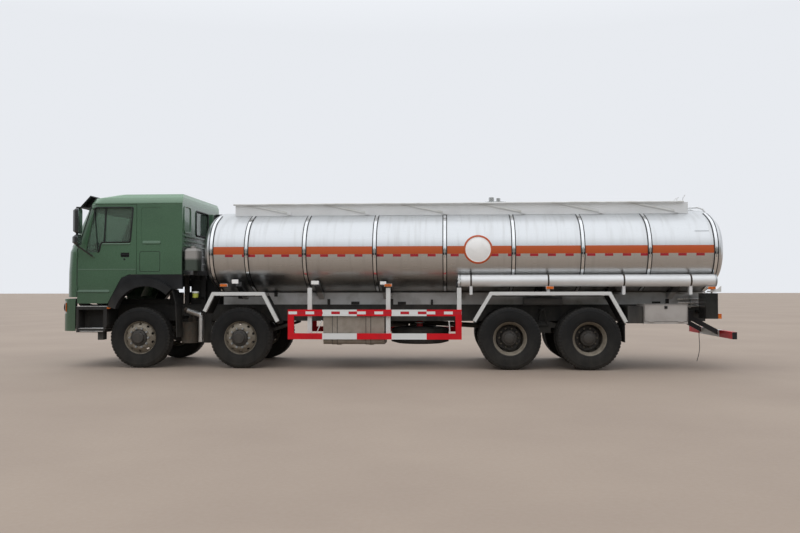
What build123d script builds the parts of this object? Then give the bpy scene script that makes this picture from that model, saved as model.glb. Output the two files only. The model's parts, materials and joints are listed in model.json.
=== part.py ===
from build123d import *
import os
from math import atan2, cos, degrees, radians, sin, sqrt, tan

os.makedirs("parts", exist_ok=True)

# Rigid tank truck on four axles, the front two steered and the rear two driven.
# Millimetres. +X forward, +Y left, +Z up, origin on the ground below the middle of the vehicle.
# Stations are counted rearwards from the first axle, heights from the ground.

# Vehicle
LENGTH = 11800
FRONT_OVERHANG = 1500
WHEELBASE_FRONT = 1800
WHEELBASE_MIDDLE = 4700
WHEELBASE_TANDEM = 1350
BODY_HALF_WIDTH = 1245
AXLE_2 = WHEELBASE_FRONT
AXLE_3 = AXLE_2 + WHEELBASE_MIDDLE
AXLE_4 = AXLE_3 + WHEELBASE_TANDEM
TANDEM_CENTRE = (AXLE_3 + AXLE_4) / 2
REAR_END = LENGTH - FRONT_OVERHANG
SIDES = (("left", 1), ("right", -1))
RUNNING_GAP = 0.3
PANEL_GAP = 6

# Wheels
TYRE_RADIUS = 536
TYRE_WIDTH = 296
TREAD_WIDTH = 236
TYRE_BORE = 286
TYRE_SIDES = 36
RIM_FLANGE = 300
RIM_WIDTH = 250
RIM_WALL = 12
DISC_OFFSET = 160
FRONT_WHEEL_Y = 1011
TWIN_SPACING = 348
TWIN_CENTRE_Y = 920
KINGPIN_Y = 861
KINGPIN_RADIUS = 25
STUB_RADIUS = 45
HUB_RADIUS = 138
AXLE_HEIGHT = TYRE_RADIUS

# Frame and subframe
RAIL_TOP = 1105
RAIL_DEPTH = 300
RAIL_FLANGE = 80
RAIL_PLATE = 9
FRAME_HALF_WIDTH = 425
FRAME_FRONT = -1290
FRAME_REAR = 10030
BEAM_TOP = 1322
BEAM_WIDTH = 80
BEAM_REAR = 9990
SADDLE_STATIONS = (1720, 3130, 4320, 5640, 7050, 8300, 9400)
SADDLE_LENGTH = 100
SADDLE_HALF = 960
SADDLE_TOP = 1520

# Tank
TANK_HEIGHT = 2055
TANK_HALF_WIDTH = 1235
TANK_HALF_DEPTH = 760
TANK_SIDE_RADIUS = 600
TANK_FRONT = 1262
TANK_REAR = 10012
BAND_WIDTH = 75
BAND_PROUD = 10
BAND_STATIONS = (1300, 1920, 2943, 4172, 5389, 6570, 7746, 8871, 9974)

# Walkway and handrail
COAMING_Y = 600
COAMING_WALL = 8
COAMING_TOP = 2925
COAMING_FRONT = 1563
COAMING_REAR = 9693
POST_STATIONS = (2558, 3985, 5388, 6792, 8163, 9484)
POST_LENGTH = 790
POST_FOLDED_ANGLE = 11.7
PIVOT_HEIGHT = 2768
POST_PIN_RADIUS = 8

# Cab
CAB_HALF_WIDTH = 1145
CAB_REAR = 755
CAB_WALL = 60
CAB_CORNER_LENGTH = 320
DOOR_FRONT = -1144
DOOR_REAR = -73
TILT_STATION = -1430
TILT_HEIGHT = 1130
TILT_EYE_Y = 385
CAB_FLOOR = 1655
CAB_REST = CAB_FLOOR - 6


def at(station):
    """The X of a station."""
    return LENGTH / 2 - FRONT_OVERHANG - station


def block(x, y, z, mode=Mode.ADD):
    """A block between a low and a high value on each axis."""
    spans = [sorted(span) for span in (x, y, z)]
    centre = tuple((low + high) / 2 for low, high in spans)
    with Locations(centre):
        Box(*[high - low for low, high in spans], mode=mode)


def rod(start, end, radius, mode=Mode.ADD):
    """A round bar from one point to another."""
    run = Vector(*end) - Vector(*start)
    with BuildSketch(Plane(origin=start, z_dir=run)) as section:
        Circle(radius)
    extrude(section.sketch, amount=run.length, mode=mode)


def bar(start, end, width, depth, across=(0, 1, 0), mode=Mode.ADD):
    """A rectangular bar from one point to another, its width measured along the direction across."""
    run = Vector(*end) - Vector(*start)
    with BuildSketch(Plane(origin=start, x_dir=across, z_dir=run)) as section:
        Rectangle(width, depth)
    extrude(section.sketch, amount=run.length, mode=mode)


def side_plate(points, low_y, high_y, mode=Mode.ADD):
    """A plate with an outline in (X, Z), between two values of Y."""
    with BuildSketch(Plane.XZ.offset(-max(low_y, high_y))) as section:
        with BuildLine():
            Polyline(*points, close=True)
        make_face()
    extrude(section.sketch, amount=abs(high_y - low_y), mode=mode)


def cross_plate(points, low_x, high_x, mode=Mode.ADD):
    """A plate with an outline in (Y, Z), between two values of X."""
    with BuildSketch(Plane.YZ.offset(min(low_x, high_x))) as section:
        with BuildLine():
            Polyline(*points, close=True)
        make_face()
    extrude(section.sketch, amount=abs(high_x - low_x), mode=mode)


def frustum(stages, sides=TYRE_SIDES, mode=Mode.ADD):
    """A many-sided body of revolution about Y through the origin: stages of (radius to the flats, Y)."""
    for (radius_1, y_1), (radius_2, y_2) in zip(stages, stages[1:]):
        with BuildSketch(Plane.XZ.offset(-y_1)) as first:
            RegularPolygon(radius_1, sides, major_radius=False, rotation=180 / sides + 90)
        if radius_1 == radius_2:
            extrude(first.sketch, amount=y_1 - y_2, mode=mode)
            continue
        with BuildSketch(Plane.XZ.offset(-y_2)) as second:
            RegularPolygon(radius_2, sides, major_radius=False, rotation=180 / sides + 90)
        loft([first.sketch, second.sketch], ruled=True, mode=mode)


def save(part, label):
    """Label a finished piece and write it."""
    part.label = label
    export_step(part, "parts/" + label + ".step")


# Tank section: an oval of four tangent arcs. The small arcs make the sides, the large ones the top and belly.
SIDE_CENTRE_Y = TANK_HALF_WIDTH - TANK_SIDE_RADIUS
LARGE_RADIUS = (SIDE_CENTRE_Y**2 + TANK_HALF_DEPTH**2 - TANK_SIDE_RADIUS**2) / (
    2 * (TANK_HALF_DEPTH - TANK_SIDE_RADIUS)
)
LARGE_CENTRE = LARGE_RADIUS - TANK_HALF_DEPTH
TANGENT_ANGLE = degrees(atan2(SIDE_CENTRE_Y, LARGE_CENTRE))


def oval(grow=0):
    """The tank's section in the current sketch, grown outwards."""
    large = LARGE_RADIUS + grow
    small = TANK_SIDE_RADIUS + grow
    turn = 90 - TANGENT_ANGLE
    with BuildLine() as outline:
        CenterArc((0, -LARGE_CENTRE), large, 90 - TANGENT_ANGLE, 2 * TANGENT_ANGLE)
        CenterArc((-SIDE_CENTRE_Y, 0), small, 180 - turn, 2 * turn)
        CenterArc((0, LARGE_CENTRE), large, 270 - TANGENT_ANGLE, 2 * TANGENT_ANGLE)
        CenterArc((SIDE_CENTRE_Y, 0), small, -turn, 2 * turn)
    make_face(outline.edges())


def tank_plane(station):
    """The plane across the tank at a station, its normal pointing forward."""
    return Plane(origin=(at(station), 0, TANK_HEIGHT), x_dir=(0, 1, 0), z_dir=(1, 0, 0))


def tank_surface(y, grow=0):
    """Height of the tank's top above its middle at a distance from the centre line."""
    large = LARGE_RADIUS + grow
    if abs(y) <= large * sin(radians(TANGENT_ANGLE)):
        return sqrt(large**2 - y**2) - LARGE_CENTRE
    return sqrt((TANK_SIDE_RADIUS + grow) ** 2 - (abs(y) - SIDE_CENTRE_Y) ** 2)


def ring_point(angle, grow):
    """A point (y, z) of the tank's section, by the direction of its normal from the top, in degrees."""
    direction = (sin(radians(angle)), cos(radians(angle)))
    if angle < TANGENT_ANGLE:
        centre, radius = (0, -LARGE_CENTRE), LARGE_RADIUS
    elif angle > 180 - TANGENT_ANGLE:
        centre, radius = (0, LARGE_CENTRE), LARGE_RADIUS
    else:
        centre, radius = (SIDE_CENTRE_Y, 0), TANK_SIDE_RADIUS
    reach = radius + grow
    return (centre[0] + reach * direction[0], TANK_HEIGHT + centre[1] + reach * direction[1])


# Hinges. A barrel hinge lies on the skin: the fixed leaf carries the middle barrel and the pin.
HINGE_BARREL = 9
HINGE_PIN = 4
HINGE_LEAF = 32


def hinge(origin, axis, towards, length):
    """Fixed and moving halves of a hinge at a point: its axis, and the direction of the moving leaf."""
    plane = Plane(origin=origin, x_dir=towards, z_dir=axis)
    third = length / 3
    with BuildPart() as fixed:
        with BuildSketch(Plane.XY.offset(-third / 2)):
            Circle(HINGE_BARREL)
        extrude(amount=third)
        block((-HINGE_LEAF, 0), (-HINGE_BARREL - 8, -HINGE_BARREL + 4), (-third / 2, third / 2))
        with BuildSketch(Plane.XY.offset(-length / 2)):
            Circle(HINGE_PIN)
        extrude(amount=length)
    with BuildPart() as moving:
        for low in (-length / 2, third / 2 + 0.5):
            height = length / 2 - third / 2 - 0.5
            with BuildSketch(Plane.XY.offset(low)):
                Circle(HINGE_BARREL)
            extrude(amount=height)
            block((0, HINGE_LEAF), (-HINGE_BARREL - 8, -HINGE_BARREL + 4), (low, low + height))
        with BuildSketch(Plane.XY.offset(-length / 2)):
            Circle(HINGE_PIN + RUNNING_GAP)
        extrude(amount=length, mode=Mode.SUBTRACT)
    return plane.location * fixed.part, plane.location * moving.part


# Chassis frame
with BuildPart() as frame:
    for name, side in SIDES:
        outer = side * FRAME_HALF_WIDTH
        web = side * (FRAME_HALF_WIDTH - RAIL_PLATE)
        inner = side * (FRAME_HALF_WIDTH - RAIL_FLANGE)
        bottom = RAIL_TOP - RAIL_DEPTH
        block((at(FRAME_FRONT), at(FRAME_REAR)), (outer, inner), (bottom, RAIL_TOP))
        block(
            (at(FRAME_FRONT), at(FRAME_REAR)),
            (web, inner),
            (bottom + RAIL_PLATE, RAIL_TOP - RAIL_PLATE),
            mode=Mode.SUBTRACT,
        )
    # Cross members: station, height of the top, depth
    for station, top, depth in (
        (-1250, 1000, 150),
        (1020, 1090, 110),
        (2750, 1070, 110),
        (4250, 1070, 110),
        (5700, 1070, 110),
        (TANDEM_CENTRE, 1080, 200),
        (8500, 1070, 180),
        (9600, 1070, 180),
    ):
        half = FRAME_HALF_WIDTH - RAIL_PLATE
        block((at(station - 40), at(station + 40)), (-half, half), (top - depth, top))
    # Rest of the cab's rear
    for name, side in SIDES:
        block((at(560), at(640)), (side * FRAME_HALF_WIDTH, side * 345), (RAIL_TOP, CAB_REST))
    block((at(570), at(630)), (-345, 345), (1560, CAB_REST))
    # Tilt brackets of the cab, one each side of the eye
    for name, side in SIDES:
        for face in (-1, 1):
            middle = side * TILT_EYE_Y + face * 24
            side_plate(
                [
                    (at(FRAME_FRONT + 80), RAIL_TOP - 120),
                    (at(FRAME_FRONT + 80), RAIL_TOP),
                    (at(TILT_STATION) - 22, TILT_HEIGHT + 26),
                    (at(TILT_STATION) + 22, TILT_HEIGHT + 26),
                    (at(TILT_STATION) + 26, TILT_HEIGHT - 26),
                    (at(FRAME_FRONT) + 10, RAIL_TOP - 120),
                ],
                middle - 7,
                middle + 7,
            )
        rod(
            (at(TILT_STATION), side * TILT_EYE_Y - 28, TILT_HEIGHT),
            (at(TILT_STATION), side * TILT_EYE_Y + 28, TILT_HEIGHT),
            14,
        )
    # Spring hangers of the front axles
    for station in (-760, 760, 1060, 2560):
        for name, side in SIDES:
            middle = side * (FRAME_HALF_WIDTH - 45)
            block((at(station - 45), at(station + 45)), (middle - 30, middle + 30), (775, 805))
save(frame.part, "frame")


# Subframe: beams, saddles under the belly, outriggers and the tube frames over the wheels
# The members are cut to length and stay apart by the root gap of their welds
TUBE = 60
POST_INNER_Y = 1165
WELD_GAP = 0.3
GUARD_2 = ((1187, 1002), (1337, 1310), (2222, 1310), (2478, 825))
GUARD_TANDEM = ((5892, 836), (6178, 1310), (8190, 1310), (8461, 822))


def folded(corners, thickness, drop, low_y, high_y):
    """Mitred members along a folded line of stations and heights, each a piece by itself."""
    path = [Vector(at(station), height - drop) for station, height in corners]
    runs = [(end - start).normalized() for start, end in zip(path, path[1:])]
    for i, run in enumerate(runs):
        normal = Vector(-run.Y, run.X)
        outline = []
        for point, neighbour, ahead in (
            (path[i], runs[max(i - 1, 0)], 1),
            (path[i + 1], runs[min(i + 1, len(runs) - 1)], -1),
        ):
            mitre = (normal + Vector(-neighbour.Y, neighbour.X)).normalized()
            reach = mitre * (ahead * thickness / 2 / mitre.dot(normal))
            place = point + run * (ahead * WELD_GAP / 2)
            outline += [place + reach, place - reach]
        side_plate([(corner.X, corner.Y) for corner in outline], low_y, high_y)


with BuildPart() as subframe:
    for name, side in SIDES:
        outer = side * FRAME_HALF_WIDTH
        block(
            (at(TANK_FRONT + 40), at(BEAM_REAR)),
            (outer, side * (FRAME_HALF_WIDTH - BEAM_WIDTH)),
            (RAIL_TOP, BEAM_TOP),
        )
    # A saddle is a plate between the beams and a wing outside each beam
    for station in SADDLE_STATIONS:
        inner = FRAME_HALF_WIDTH - BEAM_WIDTH - WELD_GAP
        foot = FRAME_HALF_WIDTH + WELD_GAP
        block(
            (at(station + SADDLE_LENGTH / 2), at(station - SADDLE_LENGTH / 2)),
            (-inner, inner),
            (RAIL_TOP, SADDLE_TOP),
        )
        for name, side in SIDES:
            cross_plate(
                [
                    (side * foot, 1200),
                    (side * SADDLE_HALF, 1440),
                    (side * SADDLE_HALF, SADDLE_TOP),
                    (side * foot, SADDLE_TOP),
                ],
                at(station + SADDLE_LENGTH / 2),
                at(station - SADDLE_LENGTH / 2),
            )
    with BuildSketch(tank_plane(TANK_REAR + 10)):
        oval(RUNNING_GAP)
    extrude(amount=TANK_REAR - TANK_FRONT + 20, mode=Mode.SUBTRACT)
    for name, side in SIDES:
        for corners in (GUARD_2, GUARD_TANDEM):
            folded(corners, TUBE, 0, side * (BODY_HALF_WIDTH - TUBE), side * BODY_HALF_WIDTH)
    for name, side in SIDES:
        # Outriggers: station, and the Y of the post or the tube that the arm carries
        for station, reach in (
            (1480, BODY_HALF_WIDTH - TUBE),
            (2100, BODY_HALF_WIDTH - TUBE),
            (3038, POST_INNER_Y),
            (4408, POST_INNER_Y),
            (5634, POST_INNER_Y),
            (6300, BODY_HALF_WIDTH - TUBE),
            (7250, BODY_HALF_WIDTH - TUBE),
            (8080, BODY_HALF_WIDTH - TUBE),
        ):
            block(
                (at(station - 30), at(station + 30)),
                (side * (FRAME_HALF_WIDTH + WELD_GAP), side * (reach - WELD_GAP)),
                (1272, 1318),
            )
        # Posts of the side guard
        for station in (3038, 4408, 5634):
            block(
                (at(station - 38), at(station + 38)),
                (side * POST_INNER_Y, side * 1204),
                (560, 1412),
            )
save(subframe.part, "subframe")


# Tank shell with dished heads, manhole neck and discharge pipe
HEAD_STAGES = ((45, 25), (50, 50), (35, 80))
MANHOLE_STATION = 6320
MANHOLE_RADIUS = 260
MANHOLE_TOP = 2960
LID_GAP = 5
LID_PIN_STATION = MANHOLE_STATION + 310
LID_PIN_HEIGHT = MANHOLE_TOP + LID_GAP + 15
OUTLET_HEIGHT = 1212
OUTLET_FLANGE_STATION = 10130
with BuildPart() as tank:
    with BuildSketch(tank_plane(TANK_REAR)):
        oval()
    extrude(amount=TANK_REAR - TANK_FRONT)
    for station, sign in ((TANK_FRONT, 1), (TANK_REAR, -1)):
        inset = 0
        reach = 0
        for depth, angle in HEAD_STAGES:
            origin = (at(station) + sign * reach, 0, TANK_HEIGHT)
            with BuildSketch(Plane(origin=origin, x_dir=(0, sign, 0), z_dir=(sign, 0, 0))):
                oval(-inset)
            extrude(amount=depth, taper=angle)
            inset += depth * tan(radians(angle))
            reach += depth
    rod((at(MANHOLE_STATION), 0, 2700), (at(MANHOLE_STATION), 0, MANHOLE_TOP), MANHOLE_RADIUS)
    rod(
        (at(MANHOLE_STATION), 0, 2840),
        (at(MANHOLE_STATION), 0, MANHOLE_TOP),
        MANHOLE_RADIUS - 20,
        mode=Mode.SUBTRACT,
    )
    for y in (-50, 50):
        side_plate(
            [
                (at(MANHOLE_STATION + 250), 2890),
                (at(MANHOLE_STATION + 290), 2890),
                (at(LID_PIN_STATION + 22), 2960),
                (at(LID_PIN_STATION + 22), LID_PIN_HEIGHT + 20),
                (at(LID_PIN_STATION - 18), LID_PIN_HEIGHT + 20),
                (at(LID_PIN_STATION - 18), 2950),
                (at(MANHOLE_STATION + 250), 2945),
            ],
            y - 8,
            y + 8,
        )
    rod((at(LID_PIN_STATION), -58, LID_PIN_HEIGHT), (at(LID_PIN_STATION), 58, LID_PIN_HEIGHT), 10)
    rod((at(9540), 0, 1340), (at(9540), 0, OUTLET_HEIGHT), 62)
    rod((at(9480), 0, OUTLET_HEIGHT), (at(OUTLET_FLANGE_STATION), 0, OUTLET_HEIGHT), 57)
    rod(
        (at(OUTLET_FLANGE_STATION - 22), 0, OUTLET_HEIGHT),
        (at(OUTLET_FLANGE_STATION), 0, OUTLET_HEIGHT),
        110,
    )
    rod(
        (at(OUTLET_FLANGE_STATION - 120), 0, OUTLET_HEIGHT),
        (at(OUTLET_FLANGE_STATION), 0, OUTLET_HEIGHT),
        50,
        mode=Mode.SUBTRACT,
    )
    with BuildSketch(Plane(origin=(at(OUTLET_FLANGE_STATION), 0, OUTLET_HEIGHT), z_dir=(1, 0, 0))):
        with PolarLocations(90, 8, start_angle=22.5):
            Circle(9)
    extrude(amount=22, mode=Mode.SUBTRACT)
save(tank.part, "tank")


# Bands round the shell, from the coaming's foot to the subframe
BAND_START = 18.8
BAND_END = 165.5
BAND_CHORDS = 12
with BuildPart() as tank_bands:
    turn = 180 - 2 * TANGENT_ANGLE
    angles = [BAND_START, (BAND_START + TANGENT_ANGLE) / 2]
    angles += [TANGENT_ANGLE + turn * i / BAND_CHORDS for i in range(BAND_CHORDS + 1)]
    rest = BAND_END - 180 + TANGENT_ANGLE
    angles += [180 - TANGENT_ANGLE + rest * i / 3 for i in (1, 2, 3)]
    for station in BAND_STATIONS:
        for name, side in SIDES:
            inside = [ring_point(angle, 3) for angle in angles]
            outside = [ring_point(angle, BAND_PROUD) for angle in reversed(angles)]
            points = [(side * y, z) for y, z in inside + outside]
            cross_plate(points, at(station + BAND_WIDTH / 2), at(station - BAND_WIDTH / 2))
save(tank_bands.part, "tank_bands")


# Walkway coaming on the tank's top, with its two decks, handrail brackets and the rear ladder
LADDER_RAILS_Y = (-210, 210)
LADDER_RADIUS = 17
GRAB_RADIUS = 8
POST_THICKNESS = 12
POST_EYE = 20
POST_INNER = COAMING_Y + 9
FORK_HALF = 34
FORK_PLATE = 6
FORK_GAP = 6
FORK_INNER = POST_INNER - 1
FORK_OUTER = POST_INNER + POST_THICKNESS + 2
with BuildPart() as walkway:
    for name, side in SIDES:
        foot = TANK_HEIGHT + tank_surface(COAMING_Y - COAMING_WALL) + RUNNING_GAP
        block(
            (at(COAMING_FRONT), at(COAMING_REAR)),
            (side * COAMING_Y, side * (COAMING_Y - COAMING_WALL)),
            (foot, COAMING_TOP),
        )
        block(
            (at(COAMING_FRONT), at(COAMING_REAR)),
            (side * 330, side * COAMING_Y),
            (2832, 2840),
        )
    for low, high in ((COAMING_FRONT, COAMING_FRONT + 8), (COAMING_REAR - 8, COAMING_REAR)):
        block((at(low), at(high)), (-COAMING_Y, COAMING_Y), (2600, COAMING_TOP))
    with BuildSketch(tank_plane(TANK_REAR - 100)):
        oval(RUNNING_GAP)
    extrude(amount=TANK_REAR - TANK_FRONT - 200, mode=Mode.SUBTRACT)
    # Forks that hold the pins of the handrail's posts
    for station in POST_STATIONS:
        ends = (at(station - FORK_HALF), at(station + FORK_HALF))
        foot = PIVOT_HEIGHT - POST_EYE - FORK_GAP
        block(ends, (COAMING_Y - 4, FORK_INNER), (foot - FORK_PLATE, PIVOT_HEIGHT + FORK_HALF))
        block(ends, (COAMING_Y - 4, FORK_OUTER + FORK_PLATE), (foot - FORK_PLATE, foot))
        block(ends, (FORK_OUTER, FORK_OUTER + FORK_PLATE), (foot - FORK_PLATE, PIVOT_HEIGHT + POST_EYE))
        rod(
            (at(station), COAMING_Y - 4, PIVOT_HEIGHT),
            (at(station), FORK_OUTER + FORK_PLATE, PIVOT_HEIGHT),
            POST_PIN_RADIUS,
        )
    # Bent grab bars at the rear: Y, then the bar's points as station and height
    for y, points in (
        (300, ((9689, 2900), (9692, 3030), (9730, 3085))),
        (-300, ((9689, 2900), (9692, 3030), (9730, 3085))),
        (596, ((9496, 2900), (9502, 2985), (9530, 3010))),
    ):
        for (s_1, z_1), (s_2, z_2) in zip(points, points[1:]):
            rod((at(s_1), y, z_1), (at(s_2), y, z_2), GRAB_RADIUS)
        s, z = points[1]
        with Locations((at(s), y, z)):
            Sphere(GRAB_RADIUS)
    route = (
        (COAMING_REAR - 4, 2852),
        (9975, 2862),
        (10068, 2832),
        (10132, 2740),
        (10165, 2600),
        (10200, 2380),
        (10215, 2100),
        (10215, 1400),
    )
    for y in LADDER_RAILS_Y:
        for (s_1, z_1), (s_2, z_2) in zip(route, route[1:]):
            rod((at(s_1), y, z_1), (at(s_2), y, z_2), LADDER_RADIUS)
        for s, z in route[1:-1]:
            with Locations((at(s), y, z)):
                Sphere(LADDER_RADIUS)
    # Rungs: height, station
    for height, station in (
        (2740, 10132),
        (2480, 10184),
        (2210, 10209),
        (1940, 10215),
        (1670, 10215),
        (1415, 10215),
    ):
        rod((at(station), LADDER_RAILS_Y[0], height), (at(station), LADDER_RAILS_Y[1], height), 13)
    # Feet of the ladder on the ends of the subframe's beams
    for (name, side), y in zip(SIDES, reversed(LADDER_RAILS_Y)):
        rod((at(10215), y, 1400), (at(10215), y, 1285), LADDER_RADIUS)
        block((at(10232), at(10198)), (y, side * 415), (1285, 1315))
        block((at(BEAM_REAR), at(10215)), (side * 385, side * 415), (1285, 1315))
save(walkway.part, "walkway")


# Manhole lid with its small fittings
with BuildPart() as manhole_lid:
    base = MANHOLE_TOP + LID_GAP
    rod((at(MANHOLE_STATION), 0, base), (at(MANHOLE_STATION), 0, base + 30), MANHOLE_RADIUS + 15)
    rod((at(MANHOLE_STATION - 60), 0, base + 30), (at(MANHOLE_STATION - 60), 0, base + 130), 50)
    rod((at(MANHOLE_STATION + 70), 0, base + 30), (at(MANHOLE_STATION + 70), 0, base + 115), 38)
    block((at(MANHOLE_STATION + 250), at(LID_PIN_STATION)), (-36, 36), (base, base + 30))
    rod((at(LID_PIN_STATION), -36, LID_PIN_HEIGHT), (at(LID_PIN_STATION), 36, LID_PIN_HEIGHT), 20)
    rod(
        (at(LID_PIN_STATION), -40, LID_PIN_HEIGHT),
        (at(LID_PIN_STATION), 40, LID_PIN_HEIGHT),
        10 + RUNNING_GAP,
        mode=Mode.SUBTRACT,
    )
save(manhole_lid.part, "manhole_lid")


# Folding handrail: six posts on the coaming's pivots carry one rail
FOLDED = radians(POST_FOLDED_ANGLE)
POST_TOP_X = POST_LENGTH * cos(FOLDED)
POST_TOP_Z = POST_LENGTH * sin(FOLDED)
for number, station in enumerate(POST_STATIONS, start=1):
    low = (at(station), PIVOT_HEIGHT)
    high = (at(station) + POST_TOP_X, PIVOT_HEIGHT + POST_TOP_Z)
    with BuildPart() as post:
        for x, z in (low, high):
            rod((x, POST_INNER, z), (x, POST_INNER + POST_THICKNESS, z), POST_EYE)
        middle = POST_INNER + POST_THICKNESS / 2
        bar((low[0], middle, low[1]), (high[0], middle, high[1]), POST_THICKNESS, 34)
        for x, z in (low, high):
            hole = POST_PIN_RADIUS + RUNNING_GAP
            rod((x, POST_INNER - 1, z), (x, POST_INNER + POST_THICKNESS + 1, z), hole, mode=Mode.SUBTRACT)
    save(post.part, "handrail_post_%d" % number)
with BuildPart() as handrail:
    tops = [at(station) + POST_TOP_X for station in POST_STATIONS]
    rail_y = POST_INNER + POST_THICKNESS + 1 + 17
    height = PIVOT_HEIGHT + POST_TOP_Z
    rod((tops[0] + 250, rail_y, height), (tops[-1] - 900, rail_y, height), 17)
    for x in tops:
        rod((x, POST_INNER - 2, height), (x, rail_y, height), POST_PIN_RADIUS)
save(handrail.part, "handrail")


# Hose tube on the left, with rear cap, bands and brackets; its front lid
HOSE_Y = 1136
HOSE_HEIGHT = 1530
HOSE_RADIUS = 104
HOSE_WALL = 4
HOSE_FRONT = 5640
HOSE_REAR = 9985
with BuildPart() as hose_tube:
    rod((at(HOSE_FRONT), HOSE_Y, HOSE_HEIGHT), (at(HOSE_REAR), HOSE_Y, HOSE_HEIGHT), HOSE_RADIUS)
    rod(
        (at(HOSE_FRONT), HOSE_Y, HOSE_HEIGHT),
        (at(HOSE_REAR - HOSE_WALL), HOSE_Y, HOSE_HEIGHT),
        HOSE_RADIUS - HOSE_WALL,
        mode=Mode.SUBTRACT,
    )
    for station in (5839, 7160, 8437, 9557):
        block(
            (at(station - 25), at(station + 25)),
            (HOSE_Y - 48, HOSE_Y + 48),
            (1318, HOSE_HEIGHT - HOSE_RADIUS + 12),
        )
        block(
            (at(station - 25), at(station + 25)),
            (FRAME_HALF_WIDTH, HOSE_Y + 48),
            (1290, 1318),
        )
hose_fixed, hose_moving = hinge(
    (at(HOSE_FRONT), HOSE_Y + HOSE_RADIUS + HINGE_BARREL + 4, HOSE_HEIGHT), (0, 0, 1), (1, 0, 0), 90
)
with BuildPart() as hose_tube_full:
    add(hose_tube.part)
    add(hose_fixed)
save(hose_tube_full.part, "hose_tube")
with BuildPart() as hose_tube_lid:
    rod((at(HOSE_FRONT) + PANEL_GAP, HOSE_Y, HOSE_HEIGHT), (at(HOSE_FRONT) + 22, HOSE_Y, HOSE_HEIGHT), HOSE_RADIUS + 3)
    add(hose_moving)
save(hose_tube_lid.part, "hose_tube_lid")


# Tool box on the left with its door, hinged along the bottom
BOX_FRONT = 8760
BOX_REAR = 9490
BOX_LOW = 795
BOX_HIGH = 1128
BOX_INNER_Y = 700
BOX_OUTER_Y = 1228
BOX_WALL = 4
BOX_SILL = BOX_LOW + 36
with BuildPart() as tool_box:
    block((at(BOX_FRONT), at(BOX_REAR)), (BOX_INNER_Y, BOX_OUTER_Y), (BOX_LOW, BOX_HIGH))
    block(
        (at(BOX_FRONT + BOX_WALL), at(BOX_REAR - BOX_WALL)),
        (BOX_INNER_Y + BOX_WALL, BOX_OUTER_Y),
        (BOX_LOW + BOX_WALL, BOX_HIGH - BOX_WALL),
        mode=Mode.SUBTRACT,
    )
    block((at(BOX_FRONT), at(BOX_REAR)), (BOX_OUTER_Y - 16, BOX_OUTER_Y), (BOX_LOW, BOX_SILL))
    for station in (8900, 9350):
        block((at(station - 25), at(station + 25)), (FRAME_HALF_WIDTH, BOX_INNER_Y), (900, 960))
box_hinges = [
    hinge((at(station), BOX_OUTER_Y + HINGE_BARREL + 0.5, BOX_SILL + PANEL_GAP / 2), (-1, 0, 0), (0, 0, 1), 90)
    for station in (BOX_FRONT + 120, BOX_REAR - 120)
]
with BuildPart() as tool_box_full:
    add(tool_box.part)
    for pair in box_hinges:
        add(pair[0])
save(tool_box_full.part, "tool_box")
with BuildPart() as tool_box_door:
    block(
        (at(BOX_FRONT + BOX_WALL + PANEL_GAP), at(BOX_REAR - BOX_WALL - PANEL_GAP)),
        (BOX_OUTER_Y - 16, BOX_OUTER_Y),
        (BOX_SILL + PANEL_GAP, BOX_HIGH - BOX_WALL - PANEL_GAP),
    )
    for pair in box_hinges:
        add(pair[1])
save(tool_box_door.part, "tool_box_door")


# Fuel tank on the left with straps and brackets
with BuildPart() as fuel_tank:
    with BuildSketch(Plane.YZ.offset(at(4340))):
        with Locations((870, 690)):
            RectangleRounded(620, 520, 60)
    extrude(amount=1066)
    for station in (3475, 4061):
        with BuildSketch(Plane.YZ.offset(at(station + 40))):
            with Locations((870, 690)):
                RectangleRounded(632, 532, 66)
        extrude(amount=80)
        block((at(station - 40), at(station + 40)), (FRAME_HALF_WIDTH, 600), (380, 436))
        block((at(station - 40), at(station + 40)), (FRAME_HALF_WIDTH, 560), (436, 1000))
save(fuel_tank.part, "fuel_tank")


# Air tanks, battery box on the right; coolant tank, reservoir and air intake behind the cab
with BuildPart() as service_tanks:
    block((at(3250), at(3850)), (-1190, -620), (500, 930))
    block((at(3300), at(3800)), (-620, -FRAME_HALF_WIDTH), (860, 920))
    for station, height in ((4150, 760), (4700, 760)):
        rod((at(station - 10), -900, height), (at(station + 510), -900, height), 130)
        block((at(station + 220), at(station + 280)), (-830, -FRAME_HALF_WIDTH), (height + 50, height + 100))
    with BuildSketch(Plane.XY.offset(1722)):
        with Locations((at(900), 975)):
            RectangleRounded(240, 290, 50)
    extrude(amount=350)
    with BuildSketch(Plane.XY.offset(2072)):
        with Locations((at(900), 975)):
            RectangleRounded(240, 290, 50)
    extrude(amount=42, taper=40)
    rod((at(900), 980, 2100), (at(900), 980, 2160), 45)
    block((at(880), at(960)), (FRAME_HALF_WIDTH - 60, 900), (1640, 1722))
    block((at(880), at(960)), (FRAME_HALF_WIDTH - 80, FRAME_HALF_WIDTH), (RAIL_TOP, 1722))
    block((at(900), at(940)), (FRAME_HALF_WIDTH, 930), (1210, 1240))
    rod((at(920), 900, 1240), (at(920), 900, 1320), 50)
    rod((at(920), 900, 1320), (at(920), 900, 1350), 58)
    block((at(785), at(985)), (-1000, -760), (1500, 2880))
    block((at(785), at(985)), (-760, -FRAME_HALF_WIDTH + 80), (1500, 1640))
    block((at(850), at(930)), (-FRAME_HALF_WIDTH, -FRAME_HALF_WIDTH + 80), (RAIL_TOP, 1500))
    # Air tank over the tandem and box before the tool box
    rod((at(6790), 560, 1165), (at(7480), 560, 1165), 71)
    for station in (6930, 7340):
        block((at(station - 25), at(station + 25)), (FRAME_HALF_WIDTH, 510), (1140, 1190))
    block((at(8495), at(8745)), (700, 1200), (800, 1090))
    block((at(8580), at(8640)), (FRAME_HALF_WIDTH, 700), (900, 960))
save(service_tanks.part, "service_tanks")


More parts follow.
